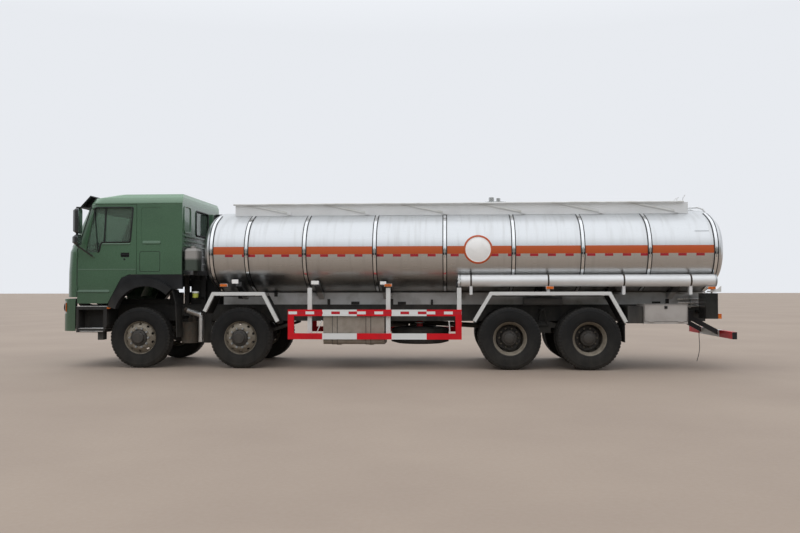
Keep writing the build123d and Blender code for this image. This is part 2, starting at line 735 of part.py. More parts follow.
# Side guards: two rails and two end uprights on each side
GUARD_FRONT = 2661
GUARD_REAR = 5675
with BuildPart() as side_guards:
    for name, side in SIDES:
        outer, inner = side * BODY_HALF_WIDTH, side * 1204
        for low, high in ((923, 1033), (520, 623)):
            block((at(GUARD_FRONT), at(GUARD_REAR)), (outer, inner), (low, high))
        for low in (GUARD_FRONT, GUARD_REAR - 106):
            block((at(low), at(low + 106)), (outer, inner), (520, 1033))
save(side_guards.part, "side_guards")


# Spare wheel, flat under the frame, hung from two cross bars
SPARE_STATION = 4920
SPARE_HEIGHT = 532
with BuildPart() as spare_template:
    frustum([(430, -148), (TYRE_RADIUS, -118), (TYRE_RADIUS, 118), (430, 148)])
    frustum([(RIM_FLANGE, -160), (RIM_FLANGE, 160)], mode=Mode.SUBTRACT)
    frustum([(RIM_FLANGE, -125), (RIM_FLANGE, 125)])
    frustum([(265, 30), (265, 140)], mode=Mode.SUBTRACT)
    frustum([(265, -140), (265, 0)], mode=Mode.SUBTRACT)
spare = Location((at(SPARE_STATION), 0, SPARE_HEIGHT), (90, 0, 0)) * spare_template.part
with BuildPart() as spare_wheel:
    add(spare)
    rod((at(SPARE_STATION), 0, SPARE_HEIGHT - 40), (at(SPARE_STATION), 0, 690), 30)
    rod((at(SPARE_STATION), 0, 675), (at(SPARE_STATION), 0, 700), 260)
    # Winch of the carrier, beside the propeller shaft
    rod((at(SPARE_STATION), 200, 700), (at(SPARE_STATION), 200, 905), 58)
    rod((at(SPARE_STATION), 200, 760), (at(SPARE_STATION), 200, 772), 95)
    for y in (-200, 200):
        block((at(SPARE_STATION - 30), at(SPARE_STATION + 30)), (y - 10, y + 10), (690, 960))
    block((at(SPARE_STATION - 40), at(SPARE_STATION + 40)), (-416, 416), (900, 960))
save(spare_wheel.part, "spare_wheel")


# Drive line: engine, gearbox and propeller shafts
with BuildPart() as drivetrain:
    block((at(-1080), at(260)), (-330, 330), (640, 1200))
    block((at(260), at(960)), (-210, 210), (700, 1060))
    for station in (-900, 100):
        block((at(station - 60), at(station + 60)), (-FRAME_HALF_WIDTH + RAIL_PLATE, FRAME_HALF_WIDTH - RAIL_PLATE), (850, 930))
    rod((at(950), 0, 870), (at(2750), 0, 890), 50)
    rod((at(2740), 0, 890), (at(AXLE_3 - 242), 0, 690), 45)
    block((at(2710), at(2790)), (-60, 60), (890, 960))
    rod((at(AXLE_3 + 240), 0, 610), (at(AXLE_4 - 240), 0, 610), 42)
save(drivetrain.part, "drivetrain")


# Exhaust: silencer on the left behind the first axle, with its pipe
with BuildPart() as exhaust:
    rod((at(760), 700, 800), (at(760), 700, 420), 150)
    block((at(730), at(790)), (FRAME_HALF_WIDTH, 720), (825, 865))
    block((at(730), at(790)), (660, 720), (790, 840))
    route = ((830, 700, 790), (830, 700, 960), (770, 950, 1020), (1035, 950, 930), (1040, 950, 450))
    for (s_1, y_1, z_1), (s_2, y_2, z_2) in zip(route, route[1:]):
        rod((at(s_1), y_1, z_1), (at(s_2), y_2, z_2), 46)
    for s, y, z in route[1:-1]:
        with Locations((at(s), y, z)):
            Sphere(46)
save(exhaust.part, "exhaust")


# Front axles with their leaf springs
def front_axle(station):
    """One drop beam with two leaf springs, added to the part being built."""
    block((at(station - 45), at(station + 45)), (-620, 620), (440, 540))
    for name, side in SIDES:
        points = ((600, 440), (720, 481), (840, 481), (840, 591), (720, 591), (600, 540))
        cross_plate([(side * y, z) for y, z in points], at(station + 45), at(station - 45))
        rod((at(station), side * KINGPIN_Y, 481), (at(station), side * KINGPIN_Y, 591), 48)
        middle = side * (FRAME_HALF_WIDTH - 45)
        side_plate(
            [
                (at(station - 790), 775),
                (at(station - 730), 775),
                (at(station - 350), 640),
                (at(station), 600),
                (at(station + 350), 640),
                (at(station + 730), 775),
                (at(station + 790), 775),
                (at(station + 790), 740),
                (at(station + 350), 590),
                (at(station + 120), 540),
                (at(station - 120), 540),
                (at(station - 350), 590),
                (at(station - 790), 740),
            ],
            middle - 45,
            middle + 45,
        )
        rod(
            (at(station), side * KINGPIN_Y, 470),
            (at(station), side * KINGPIN_Y, 600),
            KINGPIN_RADIUS + RUNNING_GAP,
            mode=Mode.SUBTRACT,
        )


with BuildPart() as front_axles:
    for station in (0, AXLE_2):
        front_axle(station)
save(front_axles.part, "front_axles")


# Rear axles, their springs on one trunnion, and torque rods
with BuildPart() as rear_axles:
    for station in (AXLE_3, AXLE_4):
        rod((at(station), -680, AXLE_HEIGHT), (at(station), 680, AXLE_HEIGHT), 78)
        rod((at(station), -1060, AXLE_HEIGHT), (at(station), 1060, AXLE_HEIGHT), STUB_RADIUS)
        with BuildSketch(Plane.XY.offset(AXLE_HEIGHT - 60)):
            with Locations((at(station), 0)):
                Circle(230)
        extrude(amount=180)
        block((at(station - 240), at(station + 240)), (-110, 110), (AXLE_HEIGHT - 80, AXLE_HEIGHT + 150))
    for name, side in SIDES:
        side_plate(
            [
                (at(AXLE_3 - 60), 620),
                (at(AXLE_3 + 200), 700),
                (at(TANDEM_CENTRE - 120), 790),
                (at(TANDEM_CENTRE + 120), 790),
                (at(AXLE_4 - 200), 700),
                (at(AXLE_4 + 60), 620),
                (at(AXLE_4 + 60), 590),
                (at(AXLE_4 - 200), 650),
                (at(TANDEM_CENTRE + 120), 690),
                (at(TANDEM_CENTRE - 120), 690),
                (at(AXLE_3 + 200), 650),
                (at(AXLE_3 - 60), 590),
            ],
            side * 460,
            side * 560,
        )
        block((at(TANDEM_CENTRE - 100), at(TANDEM_CENTRE + 100)), (side * 425, side * 560), (600, 800))
        block((at(TANDEM_CENTRE - 100), at(TANDEM_CENTRE + 100)), (side * 425, side * 450), (800, 1000))
        # Two struts in a V from the frame to the trunnion
        block((at(7085), at(7165)), (side * 450, side * 660), (1000, 1030))
        block((at(7085), at(7165)), (side * 425, side * 450), (1000, 1030))
        for top, foot in ((7100, 7045), (7150, 7215)):
            rod((at(top), side * 640, 1010), (at(foot), side * 590, 745), 17)
        block((at(7030), at(7230)), (side * 560, side * 610), (730, 760))
save(rear_axles.part, "rear_axles")


# Steering knuckles: fork lugs round the beam's eye, kingpin, stub axle and brake backing plate
with BuildPart() as knuckle_template:
    for low, high in ((432, 481 - RUNNING_GAP), (591 + RUNNING_GAP, 640)):
        rod((0, 0, low), (0, 0, high), 46)
        block((-46, 46), (0, 60), (low, high))
    rod((0, 0, 440), (0, 0, 630), KINGPIN_RADIUS)
    block((-60, 60), (56, 80), (432, 640))
    with BuildSketch(Plane.XZ.offset(-80)):
        with Locations((0, AXLE_HEIGHT)):
            RegularPolygon(188, 24)
    extrude(amount=12)
    rod((0, 70, AXLE_HEIGHT), (0, 330, AXLE_HEIGHT), STUB_RADIUS)
for axle, station in ((1, 0), (2, AXLE_2)):
    for name, side in SIDES:
        with BuildPart() as knuckle:
            shape = knuckle_template.part if side > 0 else knuckle_template.part.mirror(Plane.XZ)
            add(Location((at(station), side * KINGPIN_Y, 0)) * shape)
        save(knuckle.part, "knuckle_%d_%s" % (axle, name))


# Tyres: one section for all wheels
def tyre_stages():
    """The tyre's outline as (radius, offset from its middle plane)."""
    half, tread = TYRE_WIDTH / 2, TREAD_WIDTH / 2
    return [(430, -half), (TYRE_RADIUS, -tread), (TYRE_RADIUS, tread), (430, half)]


with BuildPart() as tyre_template:
    frustum(tyre_stages())
    frustum([(430, -TYRE_WIDTH / 2), (TYRE_BORE, -115)], mode=Mode.SUBTRACT)
    frustum([(TYRE_BORE, 115), (430, TYRE_WIDTH / 2)], mode=Mode.SUBTRACT)
    frustum([(TYRE_BORE, -160), (TYRE_BORE, 160)], mode=Mode.SUBTRACT)


# Front wheel: outward disc with hand holes, hub with cap and brake drum
HAND_HOLES = 10
HAND_HOLE_CIRCLE = 222
HAND_HOLE_RADIUS = 26
BARREL = TYRE_BORE - 0.3
with BuildPart() as front_rim_template:
    frustum([(BARREL, -RIM_WIDTH / 2), (BARREL, RIM_WIDTH / 2)])
    frustum([(RIM_FLANGE, RIM_WIDTH / 2 - 6), (RIM_FLANGE, RIM_WIDTH / 2)])
    frustum([(RIM_FLANGE, -RIM_WIDTH / 2), (RIM_FLANGE, -RIM_WIDTH / 2 + 6)])
    well = BARREL - RIM_WALL
    frustum([(well, -RIM_WIDTH / 2), (well, 30)], mode=Mode.SUBTRACT)
    frustum([(well, 50), (well, RIM_WIDTH / 2)], mode=Mode.SUBTRACT)
    frustum([(well, 30), (205, 110), (190, DISC_OFFSET)])
    frustum([(well - 14, 18), (190, 96), (175, DISC_OFFSET - 14)], mode=Mode.SUBTRACT)
    with BuildSketch(Plane.XZ.offset(-DISC_OFFSET)):
        with PolarLocations(HAND_HOLE_CIRCLE, HAND_HOLES):
            RegularPolygon(HAND_HOLE_RADIUS, 8)
    extrude(amount=DISC_OFFSET - 20, mode=Mode.SUBTRACT)
    frustum([(205, -60), (205, 40)], sides=24)
    frustum([(120, 40), (120, DISC_OFFSET - 10)], sides=24)
    frustum([(HUB_RADIUS, DISC_OFFSET - 15), (HUB_RADIUS, DISC_OFFSET + 25), (95, DISC_OFFSET + 45)], sides=24)
    rod((0, -70, 0), (0, 190, 0), STUB_RADIUS + RUNNING_GAP, mode=Mode.SUBTRACT)

# Twin wheels: two rims back to back on one hub
with BuildPart() as rear_rim_template:
    for middle, facing in ((TWIN_SPACING / 2, 1), (-TWIN_SPACING / 2, -1)):
        low, high = middle - RIM_WIDTH / 2, middle + RIM_WIDTH / 2
        frustum([(BARREL, low), (BARREL, high)])
        frustum([(RIM_FLANGE, high - 6), (RIM_FLANGE, high)])
        frustum([(RIM_FLANGE, low), (RIM_FLANGE, low + 6)])
        frustum([(BARREL - RIM_WALL, low), (BARREL - RIM_WALL, high)], mode=Mode.SUBTRACT)
    for low, high in ((1, 15), (-15, -1)):
        frustum([(BARREL - 6, 60 * (1 if low > 0 else -1)), (210, high if low > 0 else low)])
        frustum([(BARREL - 20, 60 * (1 if low > 0 else -1)), (196, high if low > 0 else low)], mode=Mode.SUBTRACT)
    frustum([(212, -15), (212, 15)])
    frustum([(150, 0), (150, 150), (120, 175)], sides=24)
    frustum([(90, 175), (90, 200)], sides=24)
    frustum([(205, -230), (205, -14)], sides=24)
    rod((0, -240, 0), (0, 145, 0), STUB_RADIUS + RUNNING_GAP, mode=Mode.SUBTRACT)

WHEELS = (
    (1, 0, FRONT_WHEEL_Y, front_rim_template, (0,)),
    (2, AXLE_2, FRONT_WHEEL_Y, front_rim_template, (0,)),
    (3, AXLE_3, TWIN_CENTRE_Y, rear_rim_template, (-TWIN_SPACING / 2, TWIN_SPACING / 2)),
    (4, AXLE_4, TWIN_CENTRE_Y, rear_rim_template, (-TWIN_SPACING / 2, TWIN_SPACING / 2)),
)
for axle, station, middle, rim_template, offsets in WHEELS:
    for name, side in SIDES:
        place = Location((at(station), side * middle, AXLE_HEIGHT))
        with BuildPart() as tyre:
            for shift in offsets:
                add(place * Location((0, shift, 0)) * tyre_template.part)
        save(tyre.part, "tyre_%d_%s" % (axle, name))
        with BuildPart() as rim:
            shape = rim_template.part if side > 0 else rim_template.part.mirror(Plane.XZ)
            add(place * shape)
        save(rim.part, "rim_%d_%s" % (axle, name))


# Cab form: (height, front at the centre line, half width, rear), front and rear as stations
CAB_SECTIONS = (
    (1100, -1470, 1145, 755),
    (1700, -1465, 1145, 755),
    (2060, -1440, 1145, 755),
    (2900, -1065, 1145, 755),
    (3020, -985, 1105, 760),
    (3085, -600, 1050, 740),
)


def cab_form(inset, low, high):
    """The cab's closed outer form, or one inset from it, between two heights."""
    heights = [low] + [row[0] for row in CAB_SECTIONS if low < row[0] < high] + [high]
    sections = []
    for height in heights:
        for lower, upper in zip(CAB_SECTIONS, CAB_SECTIONS[1:]):
            if lower[0] <= height <= upper[0]:
                share = (height - lower[0]) / (upper[0] - lower[0])
                front, half, rear = [a + (b - a) * share for a, b in zip(lower[1:], upper[1:])]
        nose = at(front) - inset
        tail = at(rear) + inset
        half = half - inset
        with BuildSketch(Plane.XY.offset(height)) as section:
            with BuildLine():
                Line((tail, -half), (nose - 320, -half))
                ThreePointArc((nose - 320, -half), (nose - 172, -half + 52), (nose - 90, -half + 185))
                ThreePointArc((nose - 90, -half + 185), (nose, 0), (nose - 90, half - 185))
                ThreePointArc((nose - 90, half - 185), (nose - 172, half - 52), (nose - 320, half))
                Line((nose - 320, half), (tail, half))
                Line((tail, half), (tail, -half))
            make_face()
        sections.append(section.sketch)
    loft(sections, ruled=True)


DOOR_LOW = 1140
DOOR_HIGH = 2890
DOOR_OUTLINE = (
    (DOOR_FRONT, DOOR_LOW),
    (-590, DOOR_LOW),
    (-400, 1500),
    (-340, 1600),
    (-200, 1655),
    (DOOR_REAR, 1655),
    (DOOR_REAR, DOOR_HIGH),
    (-880, DOOR_HIGH),
    (DOOR_FRONT, 2090),
)
WINDOW_OUTLINE = (
    (-996, 2050),
    (-748, 2050),
    (-712, 2224),
    (-183, 2224),
    (-130, 2850),
    (-835, 2850),
)


def door_prism(grow, y_from, y_to, mode=Mode.ADD):
    """The door's outline, grown by a gap, as a prism on one side."""
    with BuildSketch(Plane.XZ.offset(-max(y_from, y_to))) as section:
        with BuildLine():
            Polyline(*[(at(s), z) for s, z in DOOR_OUTLINE], close=True)
        make_face()
        if grow:
            offset(amount=grow, kind=Kind.INTERSECTION)
    extrude(section.sketch, amount=abs(y_to - y_from), mode=mode)


with BuildPart() as cab_solid:
    cab_form(0, 1100, 3085)
with BuildPart() as cab_hollow:
    cab_form(CAB_WALL, 1300, 3030)
with BuildPart() as cab_hump:
    block((at(-1160), at(CAB_REAR)), (-480, 480), (1200, 1590))
    block((at(-640), at(CAB_REAR)), (-1200, 1200), (1200, 1700))
with BuildPart() as panel_inner:
    cab_form(25, 1200, 2059)
with BuildPart() as recess_inner:
    cab_form(25 + PANEL_GAP, 1200, 2059)
with BuildPart() as glass_outer:
    cab_form(20, 2061, 2899)
with BuildPart() as glass_inner:
    cab_form(27, 2061, 2899)

door_hinges = []
for name, side in SIDES:
    for height in (1400, 2000):
        origin = (at(DOOR_FRONT) + PANEL_GAP / 2, side * (CAB_HALF_WIDTH + HINGE_BARREL + 0.5), height)
        pair = hinge(origin, (0, 0, -side), (-1, 0, 0), 110)
        door_hinges.append((name, pair))

PANEL_LOW = 1268
PANEL_HIGH = 2000
PANEL_HALF = 880
PANEL_AXIS = -1449
panel_hinges = [
    hinge((at(PANEL_AXIS), y, PANEL_HIGH + PANEL_GAP / 2), (0, -1, 0), (0, 0, -1), 60) for y in (-300, 300)
]
with BuildPart() as panel_recess:
    block((at(-1200), at(-1600)), (-PANEL_HALF - 6, PANEL_HALF + 6), (PANEL_LOW - 6, PANEL_HIGH + 6))
    add(recess_inner.part, mode=Mode.SUBTRACT)
with BuildPart() as cab_shell:
    add(cab_solid.part)
    add(cab_hollow.part - cab_hump.part, mode=Mode.SUBTRACT)
    side_plate([(at(-2000), 1000), (at(-2000), 1250), (at(-600), 1250), (at(-420), 1655), (at(900), 1655), (at(900), 1000)], -1300, 1300, mode=Mode.SUBTRACT)
    block((at(-1120), at(900)), (-440, 440), (1000, 1540), mode=Mode.SUBTRACT)
    for name, side in SIDES:
        door_prism(PANEL_GAP, side * (CAB_HALF_WIDTH - CAB_WALL - 5), side * 1300, mode=Mode.SUBTRACT)
    # Windscreen and rear window
    cross_plate([(-1000, 2150), (1000, 2150), (940, 2830), (-940, 2830)], at(-600), at(-1600), mode=Mode.SUBTRACT)
    cross_plate([(-370, 2392), (370, 2392), (370, 2834), (-370, 2834)], at(900), at(650), mode=Mode.SUBTRACT)
    add(panel_recess.part, mode=Mode.SUBTRACT)
    for pair in panel_hinges:
        add(pair[0])
    for name, pair in door_hinges:
        add(pair[0])
    for name, side in SIDES:
        # Gutter over the door, sunk panel and hatch outline of the sleeper
        block((at(-840), at(746)), (side * (CAB_HALF_WIDTH - 15), side * (CAB_HALF_WIDTH + 7)), (2908, 2924))
        with BuildSketch(Plane.XZ.offset(-side * CAB_HALF_WIDTH)):
            with Locations((at(200), 2514)):
                RectangleRounded(380, 660, 50)
            with Locations((at(170), 1882)):
                RectangleRounded(372, 366, 40)
                RectangleRounded(356, 350, 34, mode=Mode.SUBTRACT)
        extrude(amount=side * 5, mode=Mode.SUBTRACT)
    # Tilt eyes under the front of the floor
    for name, side in SIDES:
        middle = side * TILT_EYE_Y
        side_plate(
            [
                (at(-1300), 1256),
                (at(-1230), 1256),
                (at(TILT_STATION + 14), TILT_HEIGHT - 20),
                (at(TILT_STATION - 20), TILT_HEIGHT),
                (at(TILT_STATION - 6), TILT_HEIGHT + 24),
            ],
            middle - 14,
            middle + 14,
        )
        rod((at(TILT_STATION), middle - 14, TILT_HEIGHT), (at(TILT_STATION), middle + 14, TILT_HEIGHT), 24)
        rod(
            (at(TILT_STATION), middle - 15, TILT_HEIGHT),
            (at(TILT_STATION), middle + 15, TILT_HEIGHT),
            14 + RUNNING_GAP,
            mode=Mode.SUBTRACT,
        )
save(cab_shell.part, "cab_shell")

with BuildPart() as cab_glass:
    add(glass_outer.part)
    add(glass_inner.part, mode=Mode.SUBTRACT)
    cross_plate([(-1000, 2150), (1000, 2150), (940, 2830), (-940, 2830)], at(-600), at(-1600), mode=Mode.INTERSECT)
    block((at(735), at(729)), (-370, 370), (2392, 2834))
save(cab_glass.part, "cab_glass")

for name, side in SIDES:
    with BuildPart() as door:
        add(cab_solid.part)
        door_prism(0, side * (CAB_HALF_WIDTH - CAB_WALL), side * 1300, mode=Mode.INTERSECT)
        side_plate([(at(s), z) for s, z in WINDOW_OUTLINE], side * 1000, side * 1300, mode=Mode.SUBTRACT)
        for hinge_name, pair in door_hinges:
            if hinge_name == name:
                add(pair[1])
        # Handle in its recess
        block(
            (at(-355), at(-205)),
            (side * (CAB_HALF_WIDTH - 22), side * (CAB_HALF_WIDTH + 20)),
            (1960, 2040),
            mode=Mode.SUBTRACT,
        )
        block((at(-355), at(-205)), (side * (CAB_HALF_WIDTH - 12), side * (CAB_HALF_WIDTH + 3)), (2000, 2025))
        # Mirror housings, rounded and domed forwards, on two arms
        for rear, low, high in ((-1000, 2370, 2815), (-1010, 2170, 2350)):
            for start, depth, taper in ((0, 50, 0), (50, 50, 35)):
                with BuildSketch(Plane.YZ.offset(at(rear) + start)):
                    with Locations((side * 1360, (low + high) / 2)):
                        RectangleRounded(180, high - low, 48)
                extrude(amount=depth, taper=taper)
        block((at(-1070), at(-1040)), (side * 1340, side * 1370), (2150, 2840))
        bar((at(-1055), side * 1355, 2830), (at(-855), side * 1130, 2830), 24, 24, across=(0, 0, 1))
        bar((at(-1055), side * 1355, 2160), (at(-830), side * 1130, 1950), 24, 24, across=(1, 0, 1))
    save(door.part, "door_" + name)
    with BuildPart() as pane:
        side_plate([(at(s), z) for s, z in WINDOW_OUTLINE], side * 1120, side * 1125)
    save(pane.part, "door_glass_" + name)


# Black trim of the cab: lower side panels, arch flares, sun visor
ARCH_STATION = 115
ARCH_HEIGHT = 893
ARCH_OUTER = 690
ARCH_INNER = 550
with BuildPart() as cab_trim:
    side_plate(
        [(at(-1175), 2868), (at(-1160), 2848), (at(-960), 3058), (at(-980), 3078)],
        -1000,
        1000,
    )
    for y in (-850, 0, 850):
        side_plate(
            [(at(-1130), 2880), (at(-1000), 2880), (at(-800), 3040), (at(-975), 3055)],
            y - 15,
            y + 15,
        )
    add(cab_solid.part, mode=Mode.SUBTRACT)
    for name, side in SIDES:
        side_plate(
            [
                (at(-590), 1100),
                (at(-420), 1560),
                (at(-300), CAB_FLOOR),
                (at(CAB_REAR), CAB_FLOOR),
                (at(CAB_REAR), 1394),
                (at(560), 1394),
            ],
            side * (CAB_HALF_WIDTH - CAB_WALL),
            side * CAB_HALF_WIDTH,
        )
        with BuildSketch(Plane.XZ.offset(-max(side * (CAB_HALF_WIDTH - CAB_WALL), side * 1240))):
            with Locations((at(ARCH_STATION), ARCH_HEIGHT)):
                Circle(ARCH_OUTER)
                Circle(ARCH_INNER, mode=Mode.SUBTRACT)
            with BuildLine():
                Polyline(
                    (at(ARCH_STATION), ARCH_HEIGHT),
                    (at(ARCH_STATION + 900 * 0.687), ARCH_HEIGHT + 900 * 0.727),
                    (at(ARCH_STATION + 620), 2000),
                    (at(ARCH_STATION - 1000), 2000),
                    (at(ARCH_STATION - 900 * 0.962), ARCH_HEIGHT + 900 * 0.2726),
                    close=True,
                )
            make_face(mode=Mode.INTERSECT)
        extrude(amount=1240 - CAB_HALF_WIDTH + CAB_WALL)
        with BuildSketch(Plane.XZ.offset(-max(side * 1000, side * CAB_HALF_WIDTH))):
            with Locations((at(ARCH_STATION), ARCH_HEIGHT)):
                Circle(ARCH_INNER)
        extrude(amount=CAB_HALF_WIDTH - 1000, mode=Mode.SUBTRACT)
        door_prism(PANEL_GAP, side * 1000, side * 1300, mode=Mode.SUBTRACT)
save(cab_trim.part, "cab_trim")


# Cab inside: two seats, bunk, dashboard, steering wheel
with BuildPart() as cab_interior:
    for y in (-620, 620):
        block((at(-620), at(-120)), (y - 260, y + 260), (1720, 1860))
        block((at(-240), at(-120)), (y - 260, y + 260), (1860, 2500))
        block((at(-520), at(-200)), (y - 200, y + 200), (1700, 1720))
    block((at(60), at(690)), (-1060, 1060), (1700, 1880))
    block((at(-1285), at(-1080)), (-820, 820), (1750, 2080))
    block((at(-1150), at(-1080)), (-200, 200), (1590, 1750))
    rod((at(-1080), 620, 1950), (at(-900), 620, 2060), 30)
    with BuildSketch(Plane(origin=(at(-910), 620, 2053), x_dir=(0, 1, 0), z_dir=(-0.85, 0, 0.52))):
        RegularPolygon(225, 20)
        RegularPolygon(193, 20, mode=Mode.SUBTRACT)
        Rectangle(400, 40)
    extrude(amount=22)
save(cab_interior.part, "cab_interior")


# Front panel with its grille slots, hinged along the top
with BuildPart() as front_panel:
    add(cab_solid.part)
    add(panel_inner.part, mode=Mode.SUBTRACT)
    block((at(-1200), at(-1600)), (-PANEL_HALF, PANEL_HALF), (PANEL_LOW, PANEL_HIGH), mode=Mode.INTERSECT)
    for row in range(4):
        low = 1340 + row * 110
        block((at(-1300), at(-1600)), (-620, 620), (low, low + 60), mode=Mode.SUBTRACT)
    for pair in panel_hinges:
        add(pair[1])
save(front_panel.part, "front_panel")


# Bumper: a curved shell with pockets for the headlamps
BUMPER_LOW = 650
BUMPER_HIGH = 1220
LAMP_Y = (700, 1200)
LAMP_REAR = -1345
LAMP_Z = (955, 1180)


def bumper_form(inset, low, high, mode=Mode.ADD):
    """The bumper's outer form, or one inset from it, between two heights."""
    nose = at(-FRONT_OVERHANG) - inset
    half = CAB_HALF_WIDTH + 5 - inset
    tail = at(-1174)
    with BuildSketch(Plane.XY.offset(low)) as section:
        with BuildLine():
            Line((tail, -half), (nose - 230, -half))
            ThreePointArc((nose - 230, -half), (nose - 140, -half + 40), (nose - 75, -half + 130))
            ThreePointArc((nose - 75, -half + 130), (nose, 0), (nose - 75, half - 130))
            ThreePointArc((nose - 75, half - 130), (nose - 140, half - 40), (nose - 230, half))
            Line((nose - 230, half), (tail, half))
            Line((tail, half), (tail, -half))
        make_face()
    extrude(section.sketch, amount=high - low, mode=mode)


with BuildPart() as bumper:
    bumper_form(0, BUMPER_LOW, BUMPER_HIGH)
    bumper_form(26, BUMPER_LOW, BUMPER_HIGH, mode=Mode.SUBTRACT)
    for name, side in SIDES:
        block(
            (at(LAMP_REAR), at(-1600)),
            (side * LAMP_Y[0], side * LAMP_Y[1]),
            LAMP_Z,
            mode=Mode.SUBTRACT,
        )
        # Brackets to the frame's front end
        block((at(FRAME_FRONT - 190), at(FRAME_FRONT)), (side * 345, side * 425), (860, 940))
    block((at(-1300), at(-1600)), (-520, 520), (1010, 1120), mode=Mode.SUBTRACT)
save(bumper.part, "bumper")


# Lamps: headlamps and tail lamp housings
with BuildPart() as lamps:
    bumper_form(6, *LAMP_Z)
    block((at(LAMP_REAR), at(-1600)), (-LAMP_Y[1], LAMP_Y[1]), LAMP_Z, mode=Mode.INTERSECT)
    block((at(-1300), at(-1600)), (-LAMP_Y[0], LAMP_Y[0]), LAMP_Z, mode=Mode.SUBTRACT)
    for name, side in SIDES:
        block((at(9790), at(9990)), (side * 830, side * 1230), (880, 1310))
        block((at(9850), at(9930)), (side * FRAME_HALF_WIDTH, side * 840), (950, 1010))
save(lamps.part, "lamps")


# Step boxes under the doors
with BuildPart() as steps:
    for name, side in SIDES:
        side_plate(
            [(at(-1131), 630), (at(-1131), 1080), (at(-577), 1080), (at(-577), 760), (at(-630), 630)],
            side * 700,
            side * 1200,
        )
        block((at(-1090), at(-640)), (side * 950, side * 1210), (690, 1030), mode=Mode.SUBTRACT)
        block((at(-1000), at(-900)), (side * FRAME_HALF_WIDTH, side * 710), (900, 960))
        block((at(-760), at(-660)), (side * 1000, side * 1150), (495, 632))
save(steps.part, "steps")


# Mudguards: bent plate behind the first wheel, rubber under the tube frames, rear flaps
FIRST_GUARD = (
    (672, 545),
    (650, 1130),
    (586, 1378),
    (598, 1384),
    (664, 1133),
    (686, 545),
)
with BuildPart() as mudguards:
    for name, side in SIDES:
        side_plate(
            [(at(s), z) for s, z in FIRST_GUARD],
            side * 860,
            side * 1190,
        )
        block((at(615), at(645)), (side * FRAME_HALF_WIDTH, side * 870), (850, 900))
        block((at(615), at(660)), (side * 860, side * 870), (850, 900))
        for corners in (GUARD_2, GUARD_TANDEM):
            folded(corners, 10, 43, side * 715, side * 1185)
        block((at(8440), at(8452)), (side * 600, side * 1183), (475, 820))
save(mudguards.part, "mudguards")


# Underrun bar with its arms, and the rear cross member painted like it
BAR_LOW = 535
BAR_HIGH = 655
STRAP_STATION = 10060
STRAP_HEIGHT = 985
STRAP_RADIUS = 6
with BuildPart() as underrun_bar:
    block((at(REAR_END), at(REAR_END - 70)), (-1225, 1225), (BAR_LOW, BAR_HIGH))
    for name, side in SIDES:
        bar(
            (at(9700), side * 470, 900),
            (at(REAR_END - 50), side * 470, 600),
            60,
            80,
        )
        block((at(9600), at(9800)), (side * FRAME_HALF_WIDTH, side * 500), (820, 1000))
    block((at(FRAME_REAR), at(FRAME_REAR + 60)), (-FRAME_HALF_WIDTH, FRAME_HALF_WIDTH), (1000, 1090))
    block((at(STRAP_STATION - 14), at(STRAP_STATION + 14)), (-12, 12), (STRAP_HEIGHT, 1000))
save(underrun_bar.part, "underrun_bar")


# Earthing strap that hangs from its clip: straight runs joined by tangent arcs
STRAP_ROUTE = (
    (STRAP_STATION, STRAP_HEIGHT),
    (STRAP_STATION, 830),
    (10049, 674),
    (10046, 515),
    (10058, 357),
    (10050, 203),
    (10003, 52),
)
points = [Vector(at(s), 0, z) for s, z in STRAP_ROUTE]
radii = []
for before, corner, after in zip(points, points[1:], points[2:]):
    half_turn = radians((corner - before).get_angle(after - corner)) / 2
    shorter = min((corner - before).length, (after - corner).length)
    radii.append(0.45 * shorter / tan(half_turn))
print("strap radii", [round(radius) for radius in radii])
with BuildPart() as earth_strap:
    with BuildLine() as path:
        FilletPolyline(*points, radius=radii)
    with BuildSketch(Plane(origin=path.line @ 0, z_dir=path.line % 0)):
        Circle(STRAP_RADIUS)
    sweep()
save(earth_strap.part, "earth_strap")
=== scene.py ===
import json
from math import atan2, cos, degrees, pi, radians, sin, sqrt

import bmesh
import bpy
from mathutils import Matrix, Vector

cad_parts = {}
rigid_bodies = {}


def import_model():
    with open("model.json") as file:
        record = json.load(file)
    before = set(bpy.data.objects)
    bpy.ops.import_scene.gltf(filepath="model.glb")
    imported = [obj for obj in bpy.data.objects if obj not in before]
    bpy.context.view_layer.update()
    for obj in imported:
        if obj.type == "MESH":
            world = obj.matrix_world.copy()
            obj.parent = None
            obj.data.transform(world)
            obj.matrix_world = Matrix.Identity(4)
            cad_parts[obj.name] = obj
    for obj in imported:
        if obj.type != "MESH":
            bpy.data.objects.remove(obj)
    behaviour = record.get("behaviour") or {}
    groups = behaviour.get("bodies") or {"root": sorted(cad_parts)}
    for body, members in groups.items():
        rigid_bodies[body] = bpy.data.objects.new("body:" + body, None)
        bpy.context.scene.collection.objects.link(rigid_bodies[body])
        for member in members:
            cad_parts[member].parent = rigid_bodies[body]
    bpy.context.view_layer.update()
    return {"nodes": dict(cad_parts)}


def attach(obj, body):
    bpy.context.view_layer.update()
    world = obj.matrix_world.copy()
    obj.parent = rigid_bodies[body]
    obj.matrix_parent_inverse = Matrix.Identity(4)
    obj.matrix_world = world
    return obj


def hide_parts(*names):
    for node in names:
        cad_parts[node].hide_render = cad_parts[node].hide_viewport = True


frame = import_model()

bl_info = {
    "name": "Tank truck dressing",
    "version": (1, 0, 0),
    "blender": (4, 5, 0),
    "location": "View3D > Sidebar > Tanker",
    "description": "Finishes, tyres, trim, lamps and stage for the packed tank truck",
    "category": "Object",
}

# The CAD box, before anything is added
NODES = frame["nodes"]

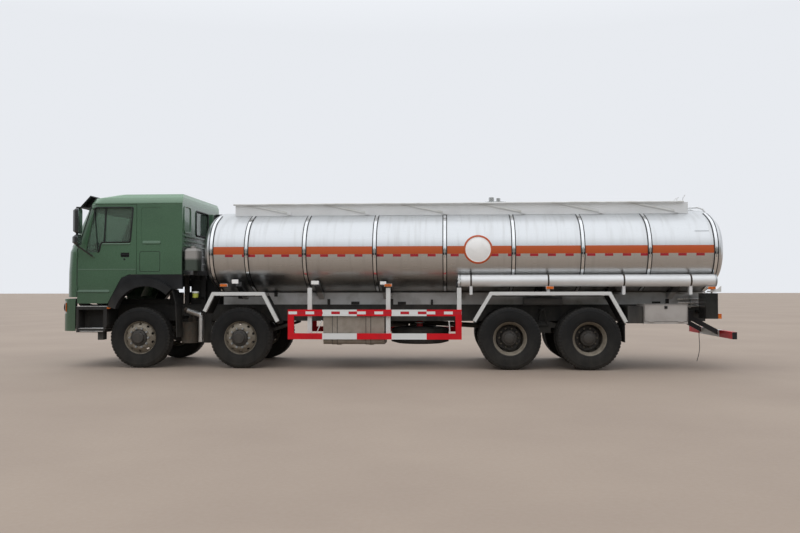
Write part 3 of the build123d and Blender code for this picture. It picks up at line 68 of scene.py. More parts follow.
# Places of the CAD model, in millimetres: stations run rearwards from the first axle
FIRST_AXLE_X = 4400
AXLE_HEIGHT = 536
FRONT_WHEELS = ((1, 0), (2, 1800))
REAR_WHEELS = ((3, 6500), (4, 7850))
FRONT_WHEEL_Y = 1011
TWIN_Y = 920
TANK_HEIGHT = 2055
SIDE_CENTRE = 635
SIDE_RADIUS = 600
HALF_DEPTH = 760
LARGE_RADIUS = (SIDE_CENTRE**2 + HALF_DEPTH**2 - SIDE_RADIUS**2) / (2 * (HALF_DEPTH - SIDE_RADIUS))
LARGE_CENTRE = LARGE_RADIUS - HALF_DEPTH
BAND_STATIONS = (1300, 1920, 2943, 4172, 5389, 6570, 7746, 8871, 9974)
SIGN_STATION = 5961
SIGN_HEIGHT = 2070
CAB_HALF = 1145
CAB_REAR = 755
HOSE_TUBE = (1136, 1530)
TAIL = 9991
SIDES = (("left", 1), ("right", -1))

# Places on a wheel, in metres
TWIN_OFFSET = 0.174
NUT_CIRCLE = 0.1675


def x_at(station):
    """X in metres of a station in millimetres."""
    return (FIRST_AXLE_X - station) / 1000


def at(station, y, height):
    """A place of the model, given in millimetres, as a point in metres."""
    return Vector((x_at(station), y / 1000, height / 1000))


def linear(code):
    """An sRGB colour such as 4f7657 as linear red, green, blue and a full alpha."""
    parts = [int(code[i:i + 2], 16) / 255 for i in (0, 2, 4)]
    return tuple(c / 12.92 if c <= 0.04045 else ((c + 0.055) / 1.055) ** 2.4 for c in parts) + (1.0,)


def colour_prop(name, description, code):
    """A colour that a user may change."""
    return bpy.props.FloatVectorProperty(
        name=name, description=description, default=linear(code), size=4, min=0.0, max=1.0, subtype="COLOR"
    )


def size_prop(name, description, default, low, high, unit="LENGTH"):
    """A size that a user may change."""
    return bpy.props.FloatProperty(
        name=name, description=description, default=default, min=low, max=high, unit=unit
    )


class TankerColours(bpy.types.PropertyGroup):
    cab_green: colour_prop("Cab green", "Enamel of the cab and bumper", "43634a")
    stripe_orange: colour_prop("Stripe orange", "Film of the stripe round the tank", "b84c18")
    dash_red: colour_prop("Dash red", "Red of the reflecting dashes", "a8182a")
    guard_red: colour_prop("Guard red", "Enamel of the side guards and rear bar", "cc0a1c")
    guard_white: colour_prop("Guard white", "Enamel of the white stretches and tube frames", "d5d6d4")
    rim_beige: colour_prop("Rim beige", "Paint of the wheel rims", "7f776a")
    dust: colour_prop("Dust", "Road dust on the lower parts", "8d8577")
    steel: colour_prop("Steel", "Polished sheet of the tank", "d6d8d9")


class TankerSizes(bpy.types.PropertyGroup):
    tyre_radius: size_prop("Tyre radius", "Outer radius of a tyre", 0.536, 0.4, 0.7)
    groove_depth: size_prop("Groove depth", "Depth of the tread", 0.013, 0.0, 0.03)
    stripe_low: size_prop("Stripe foot", "Height of the stripe's lower edge", 1.995, 1.3, 2.8)
    stripe_high: size_prop("Stripe top", "Height of the stripe's upper edge", 2.130, 1.3, 2.8)
    sign_radius: size_prop("Sign radius", "Radius of the round sign", 0.250, 0.1, 0.5)
    lens: size_prop("Focal length", "Lens of the camera", 36.14, 10.0, 200.0, "CAMERA")


def colours():
    """The colours that a user may change."""
    return bpy.context.scene.tanker_colours


def sizes():
    """The sizes that a user may change."""
    return bpy.context.scene.tanker_sizes


# Materials

FINISH = {}
RGBA = {"data_type": "RGBA", "out": 2}


def put(tree, kind, *values, inputs=None, out=0, **settings):
    """Adds a node with its settings and gives an output.

    Values go to the first inputs and inputs holds others; each takes a number or the output of another node.
    """
    made = tree.nodes.new("ShaderNode" + kind)
    for name, value in settings.items():
        setattr(made, name, value)
    for key, value in {**dict(enumerate(values)), **(inputs or {})}.items():
        if isinstance(value, bpy.types.NodeSocket):
            tree.links.new(value, made.inputs[key])
        else:
            made.inputs[key].default_value = value
    return made.outputs[out] if made.outputs else made


def begin(key, name):
    """A new material under a short key: its tree, and the place on the model in metres."""
    material = bpy.data.materials.new(name)
    material.use_nodes = True
    tree = material.node_tree
    tree.nodes.clear()
    FINISH[key] = material
    return tree, put(tree, "TexCoord", out="Object")


def surface(tree, sockets):
    """Ends a material with its shader, whose sockets are set or linked."""
    put(tree, "OutputMaterial", put(tree, "BsdfPrincipled", inputs=sockets))


def blots(tree, place, size_mm, detail=4.0, stretch=None):
    """Blots of a real size, longer along the axes that are stretched."""
    if stretch:
        place = put(tree, "Mapping", place, inputs={"Scale": stretch})
    inputs = {"Vector": place, "Scale": 1000 / size_mm, "Detail": detail, "Roughness": 0.55}
    return put(tree, "TexNoise", inputs=inputs)


def tone(colour):
    """A colour by its code, by the name of one that a user may change, or as it is."""
    if not isinstance(colour, str):
        return colour
    return getattr(colours(), colour) if hasattr(colours(), colour) else linear(colour)


def inside(tree, parts, reaches):
    """1 inside a box, else 0: a reach is a pair in metres, or None for all."""
    share = None
    for part, reach in zip(parts, reaches):
        if reach:
            low, high = reach
            within = put(tree, "Math", part, (low + high) / 2, (high - low) / 2, operation="COMPARE")
            share = within if share is None else put(tree, "Math", share, within, operation="MULTIPLY")
    return share


def dabs(tree, place, base, rows, one_side=False):
    """The colour covered by others inside boxes of the model, in metres.

    A row has a colour, its reach along X, from the middle plane and in height, each a pair or None for all,
    and None or a fade by height: where it starts, where it is full, and how far it covers.
    """
    parts = list(put(tree, "SeparateXYZ", place).node.outputs)
    if not one_side:
        parts[1] = put(tree, "Math", parts[1], operation="ABSOLUTE")
    for colour, *reaches, fade in rows:
        cover = inside(tree, parts, reaches)
        if fade:
            start, full, most = fade
            share = put(tree, "MapRange", parts[2], start, full, 0.0, most)
            cover = share if cover is None else put(tree, "Math", cover, share, operation="MULTIPLY")
        base = put(tree, "Mix", inputs={0: cover, 6: base, 7: tone(colour)}, **RGBA)
    return base


def worn_surface(
    key, name, slot, colour, worn, metallic, rough, patch_mm, grain_mm, depth_mm, dust, spread=(0.45, 0.7),
    coat=0.0, shine=0.5, dusty=(1.5, 0.25), boxes=(), one_side=False, paint=None,
):
    """A finish with blotches, a grain that catches the light, and road dust that thins out upwards."""
    tree, place = begin(key, name)
    worn_share = put(tree, "MapRange", blots(tree, place, patch_mm, 7.0), *spread)
    base = put(tree, "Mix", inputs={0: worn_share, 6: tone(colour), 7: tone(worn)}, **RGBA)
    if boxes:
        base = dabs(tree, place, base, boxes, one_side)
    if paint:
        base = paint(tree, place, base)
    height = put(tree, "SeparateXYZ", place, out=2)
    film = put(tree, "MapRange", blots(tree, place, 140, 6.0, (1.0, 1.0, 0.4)), 0.3, 0.65, 0.35, 1.6)
    cover = put(tree, "Math", put(tree, "MapRange", height, *dusty, 0.0, dust), film, operation="MULTIPLY")
    base = put(tree, "Mix", inputs={0: cover, 6: base, 7: colours().dust}, **RGBA)
    grain = blots(tree, place, grain_mm, 3.0)
    dull = put(tree, "Math", cover, 0.5, operation="MULTIPLY")
    roughness = put(tree, "Math", put(tree, "MapRange", grain, 0.3, 0.7, *rough), dull, operation="ADD")
    bump = put(tree, "Bump", inputs={"Height": grain, "Distance": depth_mm / 1000, "Strength": 1.0})
    surface(tree, {
        "Base Color": base, "Roughness": roughness, "Normal": bump, "Metallic": metallic,
        "Specular IOR Level": shine, "Coat Weight": coat, "Coat Roughness": 0.12,
    })


def guard_tape(tree, place, base):
    """Tape of 150 mm silver and 150 mm red in turn, 48 mm high, on the upper rail of a guard."""
    turns = put(tree, "Math", put(tree, "SeparateXYZ", place), 4.273, operation="ADD")
    turns = put(tree, "Math", put(tree, "Math", turns, 0.3, operation="DIVIDE"), operation="FRACT")
    red = put(tree, "Math", turns, 0.5, operation="LESS_THAN")
    tape = put(tree, "Mix", inputs={0: red, 6: linear("d9dbda"), 7: linear("b3202c")}, **RGBA)
    return dabs(tree, place, base, ((tape, (-2.0, 6.0), (1.2449, 1.5), (0.954, 1.002), None),))


def rim_dirt(tree, place, base):
    """Rust and brake dust in blots over a wheel."""
    rust = put(tree, "MapRange", blots(tree, place, 45, 8.0), 0.62, 0.78, 0.0, 0.5)
    return put(tree, "Mix", inputs={0: rust, 6: base, 7: linear("6b4a33")}, **RGBA)


def tread_dust(tree, place, base):
    """Dust held in the tread and along the shoulder."""
    flat = put(tree, "VectorMath", place, (1.0, 0.0, 1.0), operation="MULTIPLY")
    radius = put(tree, "VectorMath", flat, out="Value", operation="LENGTH")
    share = put(tree, "MapRange", radius, 0.50, 0.53, 0.0, 0.1)
    return put(tree, "Mix", inputs={0: share, 6: base, 7: linear("5f5a52")}, **RGBA)


# Boxes of other colours on a finish
CAB_BOXES = (
    # Painted highlight over the top of the roof, deeper colour low down, painted shade low on the rear wall,
    # black mirrors and arms
    # Painted highlight: lighter green over the top of the roof, where it faces the sky
    ("9dbfa3", None, None, None, (2.88, 3.0, 0.45)),
    ("2b3f2f", None, None, None, (2.1, 1.1, 0.45)),
    # Painted shade: near black low on the rear wall, where the tank shades it
    ("191d1b", (-9.0, 3.655), None, None, (2.16, 2.08, 0.8)),
    ("1b1c1e", None, (1.17, 9.0), None, None),
)
SUBFRAME_BOXES = (
    # Painted shade on the saddles, white tube frames and posts
    ("4a4b4c", None, (-1.0, 1.0), (1.325, 9.0), None),
    ("guard_white", None, (1.1645, 9.0), None, None),
)
GUARD_BOXES = (
    # Second and fourth of the five stretches of each guard
    ("guard_white", (0.533, 1.136), None, None, None),
    ("guard_white", (-0.673, -0.070), None, None, None),
    # Black arms, white middle and black caps of the rear bar
    ("26272a", (-5.82, -5.2), (-0.52, 0.52), None, None),
    ("guard_white", (-9.0, -5.822), (-0.55, 0.55), None, None),
    ("202124", (-9.0, -5.822), (1.195, 9.0), None, None),
)
VESSEL_BOXES = (
    # Milky coolant bottle, clouded green where it is full
    ("94918d", (3.37, 3.63), (0.8, 1.13), (1.715, 2.2), None),
    ("414a42", (3.37, 3.63), (0.8, 1.13), (1.715, 2.2), (1.95, 1.9, 1.0)),
    # Small reservoir with its cap, and the grey air tank over the rear wheels
    ("b3b84e", (3.40, 3.56), (0.83, 0.97), (1.236, 1.318), None),
    ("e4e7e4", (3.40, 3.56), (0.83, 0.97), (1.318, 1.4), None),
    ("77787a", (-3.1, -2.38), (0.48, 0.64), (1.09, 1.24), None),
)
WINCH_BOXES = (
    # Red winch of the spare's carrier and its pale flange
    ("a3262c", (-0.62, -0.42), (0.13, 0.27), (0.7, 0.898), None),
    ("c9cccb", (-0.63, -0.4), (0.1, 0.3), (0.757, 0.775), None),
)
# Pale lenses of the headlamps; the tail lamp housings stay black
LENS_BOXES = (("8f9798", (5.6, 5.95), (-1.3, 1.3), (0.9, 1.2), None),)

# Key, name, slot, colour, worn colour, metallic, roughness, then in millimetres the size of blotches and
# grain and the grain's depth, then the share of dust, and what differs from the usual
WORN_FINISHES = (
    # Acrylic enamel sprayed on pressed steel: deep, glossy, with a faint orange peel (2 mm, drawn 9 mm)
    ("green", "acrylic enamel sprayed on pressed steel", "cab_paint", "cab_green", "3c5a43",
     0.0, (0.24, 0.32), 900, 9, 0.04, 0.06, {"coat": 0.6, "boxes": CAB_BOXES}),
    # Stainless strip, brushed: brighter along its length, soft highlights
    ("bright", "stainless strip brushed", "tank_fittings", "dadbdb", "bdbebd",
     1.0, (0.2, 0.32), 160, 3, 0.03, 0.2, {"dusty": (1.6, 0.25)}),
    # Stainless sheet with a milled face, not polished: pale, with broad soft highlights
    ("satin", "stainless sheet with a milled face", "galvanised", "dfe0e0", "d4d5d5",
     0.4, (0.42, 0.55), 500, 4, 0.02, 0.1, {}),
    # Aluminium paint sprayed on welded steel: dull silver that hardly mirrors, with grime in blotches
    ("silver", "aluminium paint sprayed on steel", "silver_paint", "c2c4c5", "a3a4a3",
     0.25, (0.42, 0.6), 240, 5, 0.1, 0.35, {"boxes": SUBFRAME_BOXES}),
    # Chassis enamel, sprayed thick: nearly black, satin, greyed by dust, rust at scratches
    ("chassis", "chassis enamel sprayed thick", "chassis_black", "202122", "35322e",
     0.0, (0.45, 0.65), 120, 6, 0.2, 0.2, {"spread": (0.55, 0.75), "shine": 0.35}),
    # Polypropylene, moulded with a fine leather grain: matt black that greys outdoors
    ("plastic", "polypropylene moulded with a grain", "black_plastic", "141517", "202224",
     0.0, (0.5, 0.68), 260, 3, 0.15, 0.13, {"shine": 0.3}),
    # The same black on tanks and boxes of the chassis, next to blown polyethylene and grey enamel
    ("vessels", "chassis enamel and blown polyethylene", "chassis_black", "1a1b1d", "252628",
     0.0, (0.38, 0.52), 200, 5, 0.1, 0.18, {"shine": 0.35, "boxes": VESSEL_BOXES, "one_side": True}),
    # Moulded lamp housings with clear polycarbonate lenses: glossy
    ("housing", "polycarbonate over moulded housings", "lamp_plastic", "141617", "1e2021",
     0.0, (0.15, 0.28), 200, 4, 0.02, 0.08, {"coat": 0.2, "shine": 0.35, "boxes": LENS_BOXES}),
    # Enamel sprayed on steel tube: clean signal red, gloss dulled by dust
    ("red", "signal enamel sprayed on steel", "red_paint", "guard_red", "b40c1c",
     0.0, (0.36, 0.5), 320, 6, 0.05, 0.03, {"shine": 0.2, "boxes": GUARD_BOXES, "paint": guard_tape}),
    # Plain white enamel for brackets and plates
    ("white", "white enamel sprayed on steel", "silver_paint", "guard_white", "c3c2bd",
     0.0, (0.34, 0.5), 200, 6, 0.05, 0.25, {"coat": 0.15}),
    # Rim paint over pressed steel: chalky beige silver with rust and brake dust
    ("rim", "rim paint baked on pressed steel", "rim_paint", "rim_beige", "675f54",
     0.15, (0.45, 0.62), 90, 4, 0.12, 0.1, {"dusty": (0.3, -0.4), "paint": rim_dirt}),
    # Cast iron, greasy: brown black and uneven
    ("hub", "cast iron with grease", "chassis_black", "262422", "38322d",
     0.0, (0.38, 0.6), 50, 5, 0.4, 0.12, {"dusty": (0.4, -0.4)}),
    # Vulcanised rubber: dull grey black, browner where it meets the road
    ("rubber", "rubber vulcanised in a mould", "tyre_rubber", "131313", "1b1a19",
     0.0, (0.65, 0.82), 120, 3, 0.2, 0.06, {"shine": 0.3, "dusty": (0.2, -0.6), "paint": tread_dust}),
    # The spare is the same rubber, next to the painted winch that carries it
    ("spare", "rubber vulcanised in a mould, painted winch", "tyre_rubber", "171717", "21201f",
     0.0, (0.55, 0.75), 120, 3, 0.2, 0.12,
     {"shine": 0.35, "dusty": (0.9, 0.25), "boxes": WINCH_BOXES, "one_side": True}),
    # Strip polished to a mirror, for the bands
    ("polished", "stainless strip polished", "tank_fittings", "e6e7e7", "d5d6d6",
     1.0, (0.08, 0.18), 300, 3, 0.01, 0.12, {"dusty": (1.6, 0.25)}),
    # Reflecting film, moulded in colour: deep red with a clear face
    ("red_film", "reflecting film moulded red", "silver_paint", "dash_red", "991426",
     0.0, (0.3, 0.42), 120, 4, 0.04, 0.1, {"coat": 0.3}),
    # Extruded seal rubber: softer black than the plastic
    ("seal", "rubber extruded as a seal", "black_plastic", "161718", "242628",
     0.0, (0.45, 0.6), 200, 2, 0.05, 0.15, {}),
    # Moulded lining and woven seat cloth of the cab, seen only through glass: mid grey, quite matt
    ("lining", "polyester cloth woven, over foam", "cab_lining", "5a5c5c", "494b4c",
     0.0, (0.7, 0.9), 150, 3, 0.4, 0.0, {}),
    # Steel dipped in zinc: grey with soft spangles
    ("zinc", "steel dipped in zinc", "galvanised", "b4b7b8", "989b9c",
     0.85, (0.34, 0.5), 25, 4, 0.04, 0.15, {}),
    # Exhaust steel, rolled and scaled by heat: brown rust over dark grey
    ("rust", "exhaust steel scaled by heat", "rusty_steel", "2e2b28", "43342a",
     0.3, (0.6, 0.8), 70, 5, 0.3, 0.3, {"spread": (0.42, 0.6)}),
    # Aluminium sheet, mill finish, dusty: the fuel tank's warm grey
    ("alloy", "aluminium sheet from the mill", "tank_fittings", "a59c92", "8d8479",
     0.7, (0.36, 0.52), 200, 4, 0.05, 0.35, {}),
    # Grey enamel of the tool box, sprayed on sheet: plain and fairly matt
    ("grey", "grey enamel sprayed on sheet", "tank_fittings", "a6a19d", "96918c",
     0.0, (0.4, 0.55), 260, 5, 0.05, 0.15, {}),
    # Yellow enamel of the valve levers: glossy, chipped where hands reach
    ("yellow", "yellow enamel dipped on steel", "lamp_plastic", "c9a832", "a88a2c",
     0.0, (0.3, 0.45), 40, 4, 0.05, 0.2, {}),
    # Retroreflecting film on a metal sheet: pale, a little beady
    ("film", "reflecting film pressed on sheet", "silver_paint", "efeeec", "e2e1de",
     0.0, (0.3, 0.45), 200, 4, 0.05, 0.1, {"coat": 0.3}),
    # Orange film of the signs' rings: even, with a soft gloss
    ("orange", "orange film pressed on sheet", "silver_paint", "stripe_orange", "a84d1c",
     0.0, (0.32, 0.45), 120, 5, 0.05, 0.1, {"coat": 0.2}),
)


def tank_finish():
    """The tank's shell with its stripe."""
    # Stainless sheet, rolled and polished: bright and even, with faint lengthwise lines from the rollers,
    # slow waves where the sheets were welded, and a stripe of orange film that is duller than the metal.
    tree, place = begin("tank", "stainless sheet rolled and polished")
    parts = put(tree, "SeparateXYZ", place).node.outputs
    height = parts[2]
    # Roller lines are 0.3 mm wide; they are drawn 8 mm wide to show at all
    lines = blots(tree, place, 8, 3.0, (0.01, 1.0, 1.0))
    waves = blots(tree, place, 420, 2.0, (1.0, 0.6, 0.6))
    streaks = blots(tree, place, 60, 5.0, (1.0, 0.08, 0.08))
    streaked = put(tree, "MapRange", streaks, 0.5, 0.85, 0.0, 0.5)
    metal = put(tree, "Mix", inputs={0: streaked, 6: colours().steel, 7: linear("b9b9b6")}, **RGBA)
    # Warm grey below the stripe, stronger towards the bottom: partly road dust, partly a painted reflection
    # of the ground under the truck
    dust_and_ground_reflection = put(tree, "MapRange", height, 1.99, 1.3, 0.1, 0.62)
    metal = put(tree, "Mix", inputs={0: dust_and_ground_reflection, 6: metal, 7: linear("948e86")}, **RGBA)
    faded = put(tree, "MapRange", waves, 0.3, 0.7)
    orange = put(tree, "Mix", inputs={0: faded, 6: colours().stripe_orange, 7: linear("b2501a")}, **RGBA)
    # The film ends at the first and the last band
    ends = (x_at(BAND_STATIONS[-1]), x_at(BAND_STATIONS[0]))
    film = inside(tree, parts, (ends, None, (sizes().stripe_low, sizes().stripe_high)))
    roughness = put(tree, "MapRange", lines, 0.3, 0.7, 0.26, 0.36)
    for more in (
        put(tree, "Math", film, 0.12, operation="MULTIPLY"),
        put(tree, "MapRange", streaks, 0.5, 0.85, 0.0, 0.12),
        put(tree, "MapRange", height, 2.45, 2.65, 0.0, 0.25),
    ):
        roughness = put(tree, "Math", roughness, more, operation="ADD")
    slow = put(tree, "Bump", inputs={"Height": waves, "Distance": 0.004, "Strength": 0.6})
    fine = put(tree, "Bump", inputs={"Height": lines, "Distance": 0.0002, "Strength": 0.35, "Normal": slow})
    surface(tree, {
        "Base Color": put(tree, "Mix", inputs={0: film, 6: metal, 7: orange}, **RGBA),
        "Metallic": put(tree, "Math", 1.0, film, operation="SUBTRACT"),
        "Roughness": roughness, "Normal": fine,
    })


def make_finishes():
    """Every finish that the truck needs."""
    tank_finish()
    for *row, extra in WORN_FINISHES:
        worn_surface(*row, **extra)
    # Float glass, tempered and tinted, and clear polycarbonate: sharp reflections dulled by a film of dust
    for key, name, slot, code, clearness in (
        ("glass", "float glass tempered and tinted", "glazing", "8fa596", 0.78),
        ("clear", "polycarbonate moulded clear", "lamp_plastic", "dfe4e6", 0.9),
    ):
        tree, place = begin(key, name)
        haze = blots(tree, place, 260, 5.0)
        dusty = put(tree, "MapRange", haze, 0.5, 0.9, 0.0, 0.25)
        surface(tree, {
            "Base Color": put(tree, "Mix", inputs={0: dusty, 6: linear(code), 7: linear("8d8d86")}, **RGBA),
            "Roughness": put(tree, "MapRange", haze, 0.35, 0.8, 0.02, 0.14),
            "Transmission Weight": clearness, "IOR": 1.5,
        })
    # Acrylic lenses, moulded in colour over ribs 6 mm apart: deep amber and ruby, glossy
    for key, name, code, deep in (
        ("amber", "acrylic lens moulded amber", "d9701a", "a84a10"),
        ("ruby", "acrylic lens moulded ruby", "a3141c", "6e0a10"),
    ):
        tree, place = begin(key, name)
        ribs = put(tree, "TexWave", place, 1000 / 6 / 6.28, 0.2, out=1)
        deeper = put(tree, "MapRange", blots(tree, place, 40), 0.4, 0.7)
        surface(tree, {
            "Base Color": put(tree, "Mix", inputs={0: deeper, 6: linear(code), 7: linear(deep)}, **RGBA),
            "Normal": put(tree, "Bump", inputs={"Height": ribs, "Distance": 0.0015, "Strength": 0.6}),
            "Roughness": put(tree, "MapRange", blots(tree, place, 90), 0.3, 0.7, 0.14, 0.26),
            "Subsurface Weight": 0.15, "Coat Weight": 0.5,
        })
    # Glass silvered behind, with a film of dust: the mirrors, and the headlamp bowls
    tree, place = begin("mirror", "glass silvered behind")
    dusty = put(tree, "MapRange", blots(tree, place, 60), 0.5, 0.8, 0.0, 0.4)
    surface(tree, {
        "Base Color": put(tree, "Mix", inputs={0: dusty, 6: linear("c9d0d2"), 7: linear("a9aeb0")}, **RGBA),
        "Roughness": put(tree, "MapRange", blots(tree, place, 120, 5.0), 0.4, 0.8, 0.03, 0.16),
        "Metallic": 1.0,
    })


NODE_FINISHES = {
    "green": ("cab_shell", "door_left", "door_right", "front_panel", "bumper"),
    "tank": ("tank",),
    "satin": ("walkway", "hose_tube", "hose_tube_lid"),
    "white": ("handrail",) + tuple("handrail_post_%d" % i for i in range(1, 7)),
    "bright": ("manhole_lid",),
    "silver": ("subframe",),
    "chassis": ("frame", "front_axles", "rear_axles", "drivetrain"),
    "plastic": ("cab_trim", "steps", "mudguards"),
    "vessels": ("service_tanks",),
    "housing": ("lamps",),
    "red": ("side_guards", "underrun_bar"),
    "rust": ("exhaust",),
    "alloy": ("fuel_tank",),
    "grey": ("tool_box", "tool_box_door"),
    "glass": ("cab_glass", "door_glass_left", "door_glass_right"),
    "lining": ("cab_interior",),
    "hub": ("knuckle_1_left", "knuckle_1_right", "knuckle_2_left", "knuckle_2_right"),
    "spare": ("spare_wheel",),
}


# Mesh making

def rounded(low_a, high_a, low_b, high_b, radius, steps=5):
    """A rectangle with round corners, given in millimetres, as a list of points in metres."""
    points = []
    corners = (
        (high_a - radius, high_b - radius, 0),
        (low_a + radius, high_b - radius, 90),
        (low_a + radius, low_b + radius, 180),
        (high_a - radius, low_b + radius, 270),
    )
    for a, b, start in corners:
        for i in range(steps + 1):
            angle = radians(start + 90 * i / steps)
            points.append(((a + radius * cos(angle)) / 1000, (b + radius * sin(angle)) / 1000))
    return points


def bent(points, radius, steps=6):
    """A path with its corners rounded, for rigid pipes and rails."""
    points = [Vector(p) for p in points]
    path = [points[0]]
    for before, corner, after in zip(points, points[1:], points[2:]):
        to_before = before - corner
        to_after = after - corner
        reach = min(radius, to_before.length * 0.48, to_after.length * 0.48)
        start = corner + to_before.normalized() * reach
        end = corner + to_after.normalized() * reach
        for i in range(steps + 1):
            t = i / steps
            path.append(start * (1 - t) ** 2 + corner * 2 * t * (1 - t) + end * t * t)
    return path + [points[-1]]


def slab(x, y, z):
    """Four corners at one height; X and Y are pairs."""
    return [(x[0], y[0], z), (x[1], y[0], z), (x[1], y[1], z), (x[0], y[1], z)]


class Shape:
    """Points and faces of one piece, in metres, gathered before its mesh is made."""

    def __init__(self):
        self.points = []
        self.faces = []
        self.marks = []
        self.mark = 0

    def add(self, points, faces):
        """Adds points and the faces between them, in the finish that is set now."""
        first = len(self.points)
        self.points.extend(Vector(p) for p in points)
        self.faces.extend([first + i for i in face] for face in faces)
        self.marks.extend([self.mark] * len(faces))

    def skin(self, loops, around=True, ends=True):
        """Faces between loops with the same number of points."""
        count = len(loops[0])
        faces = []
        for i in range(len(loops) - 1):
            for j in range(count if around else count - 1):
                k = (j + 1) % count
                faces.append((i * count + j, i * count + k, (i + 1) * count + k, (i + 1) * count + j))
        if ends:
            faces.append(tuple(reversed(range(count))))
            faces.append(tuple((len(loops) - 1) * count + j for j in range(count)))
        self.add([p for loop in loops for p in loop], faces)

    def box(self, x, y, z):
        """A block between a low and a high value on each axis, in millimetres; x is a pair of stations."""
        low = at(max(x), min(y), min(z))
        high = at(min(x), max(y), max(z))
        self.skin([slab((low.x, high.x), (low.y, high.y), height) for height in (low.z, high.z)])

    def tube(self, path, radius, sides=12, closed=False, flat=1.0):
        """A round or flattened tube along a path."""
        path = [Vector(p) for p in path]
        count = len(path)
        loops = []
        side = None
        for i, point in enumerate(path):
            before = path[i - 1] if i or closed else point
            after = path[(i + 1) % count] if i < count - 1 or closed else point
            ahead = (after - before).normalized()
            if side is None:
                side = ahead.orthogonal().normalized()
            side = (side - ahead * side.dot(ahead)).normalized()
            up = ahead.cross(side)
            ring = []
            for j in range(sides):
                angle = 2 * pi * (j + 0.5) / sides
                ring.append(point + side * (radius * cos(angle)) + up * (radius * flat * sin(angle)))
            loops.append(ring)
        if closed:
            loops.append(loops[0])
        self.skin(loops, ends=not closed)

    def bellows(self, start, end, low, high, count):
        """A corrugated sleeve between two points."""
        ahead = (end - start).normalized()
        side = ahead.orthogonal().normalized()
        up = ahead.cross(side)
        loops = []
        for i in range(2 * count + 1):
            centre = start.lerp(end, i / (2 * count))
            radius = high if i % 2 else low
            loops.append([
                centre + (side * cos(angle) + up * sin(angle)) * radius
                for angle in (pi * j / 12 for j in range(24))
            ])
        self.skin(loops)

    def turn(self, profile, centre=(0, 0, 0), sides=72, axis="y", closed=True):
        """A turned body from points (radius, distance along its axis), in metres."""
        centre = Vector(centre)
        order = {"x": (1, 2, 0), "y": (0, 2, 1), "z": (0, 1, 2)}[axis]
        loops = []
        for i in range(sides + 1):
            angle = 2 * pi * (i % sides) / sides
            loop = []
            for radius, along in profile:
                point = Vector((0, 0, 0))
                point[order[0]] = radius * cos(angle)
                point[order[1]] = radius * sin(angle)
                point[order[2]] = along
                loop.append(centre + point)
            loops.append(loop)
        self.skin(loops, around=closed, ends=False)

    def ring(self, inner, outer, low, high, centre=(0, 0, 0), sides=60, axis="y"):
        """A turned body with a square section; a solid one has no inner radius."""
        profile = [(inner, low), (outer, low), (outer, high), (inner, high)]
        self.turn(profile, centre, sides, axis, inner > 0)

    def plate(self, outline, low, high, axis="y"):
        """A plate with an outline in the other two directions, all in metres."""
        if axis == "y":
            self.skin([[(a, level, b) for a, b in outline] for level in (low, high)])
        else:
            self.skin([[(level, a, b) for a, b in outline] for level in (low, high)])

    def nut(self, centre, radius, height):
        """A six-sided nut across the Y axis, with a stud end."""
        nut = [(0, 0), (radius, 0), (radius, height * 0.8), (radius * 0.85, height), (0, height)]
        self.turn(nut, centre, 6, "y", False)
        self.ring(0, radius * 0.5, height * 0.9, height * 1.5, centre, 8)

    def nuts(self, count, circle, along, radius, height, shift=0.0):
        """Nuts on a circle round the Y axis."""
        for i in range(count):
            angle = 2 * pi * (i + shift) / count
            self.nut((circle * cos(angle), along, circle * sin(angle)), radius, height)

    def bar(self, stations, y, outline):
        """A bar along the truck's side: its outline as distances from y and heights, in millimetres."""
        self.skin([[at(station, y + out, height) for height, out in outline] for station in stations])

    def on_tank(self, station, half, sign, heights, near, far):
        """A thin piece on the tank's side, between two distances from its shell, in millimetres."""
        x = (x_at(station + half), x_at(station - half))
        self.skin([slab(x, [sign * shell_point(z, out) for out in (near, far)], z / 1000) for z in heights])

    def mesh(self, name, finishes, smooth=32):
        """The mesh, with its normals outwards and its sharp edges kept."""
        mesh = bpy.data.meshes.new(name)
        mesh.from_pydata(self.points, [], self.faces)
        for finish in finishes:
            mesh.materials.append(FINISH[finish])
        mesh.polygons.foreach_set("material_index", self.marks)
        work = bmesh.new()
        work.from_mesh(mesh)
        bmesh.ops.remove_doubles(work, verts=work.verts, dist=0.00002)
        bmesh.ops.recalc_face_normals(work, faces=work.faces)
        work.to_mesh(mesh)
        work.free()
        mesh.shade_smooth()
        mesh.set_sharp_from_angle(angle=radians(smooth))
        return mesh

    def make(self, name, body, *finishes, bevel=0.0, smooth=32):
        """The finished piece, riding on a body."""
        piece = place_mesh(name, self.mesh(name, finishes, smooth), body)
        if bevel:
            edge = piece.modifiers.new("Edge", "BEVEL")
            edge.width = bevel / 1000
            edge.segments = 2
            edge.limit_method = "ANGLE"
            edge.angle_limit = radians(40)
        return piece


def place_mesh(name, mesh, body, matrix=None):
    """An object for a mesh, riding on a body."""
    piece = bpy.data.objects.new(name, mesh)
    bpy.context.scene.collection.objects.link(piece)
    if matrix is not None:
        piece.matrix_world = matrix
    bpy.context.view_layer.update()
    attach(piece, body)
    return piece


def shell_point(height, proud=0.0):
    """Half width of the tank at a height on its side, in metres, from millimetres."""
    rise = height - TANK_HEIGHT
    return (SIDE_CENTRE + sqrt((SIDE_RADIUS + proud) ** 2 - rise**2)) / 1000


def ring_point(angle, grow):
    """A point (y, z) of the tank's section in metres, by the direction of its normal from the top."""
    tangent = degrees(atan2(SIDE_CENTRE, LARGE_CENTRE))
    out = (sin(radians(angle)), cos(radians(angle)))
    if angle < tangent:
        centre, radius = (0, -LARGE_CENTRE), LARGE_RADIUS
    elif angle > 180 - tangent:
        centre, radius = (0, LARGE_CENTRE), LARGE_RADIUS
    else:
        centre, radius = (SIDE_CENTRE, 0), SIDE_RADIUS
    reach = radius + grow
    return ((centre[0] + reach * out[0]) / 1000, (TANK_HEIGHT + centre[1] + reach * out[1]) / 1000)


def face_station(front, dip, y, half):
    """Station of a face that is bowed across the truck, at a distance from the centre line."""
    return front + dip * (y / half) ** 2


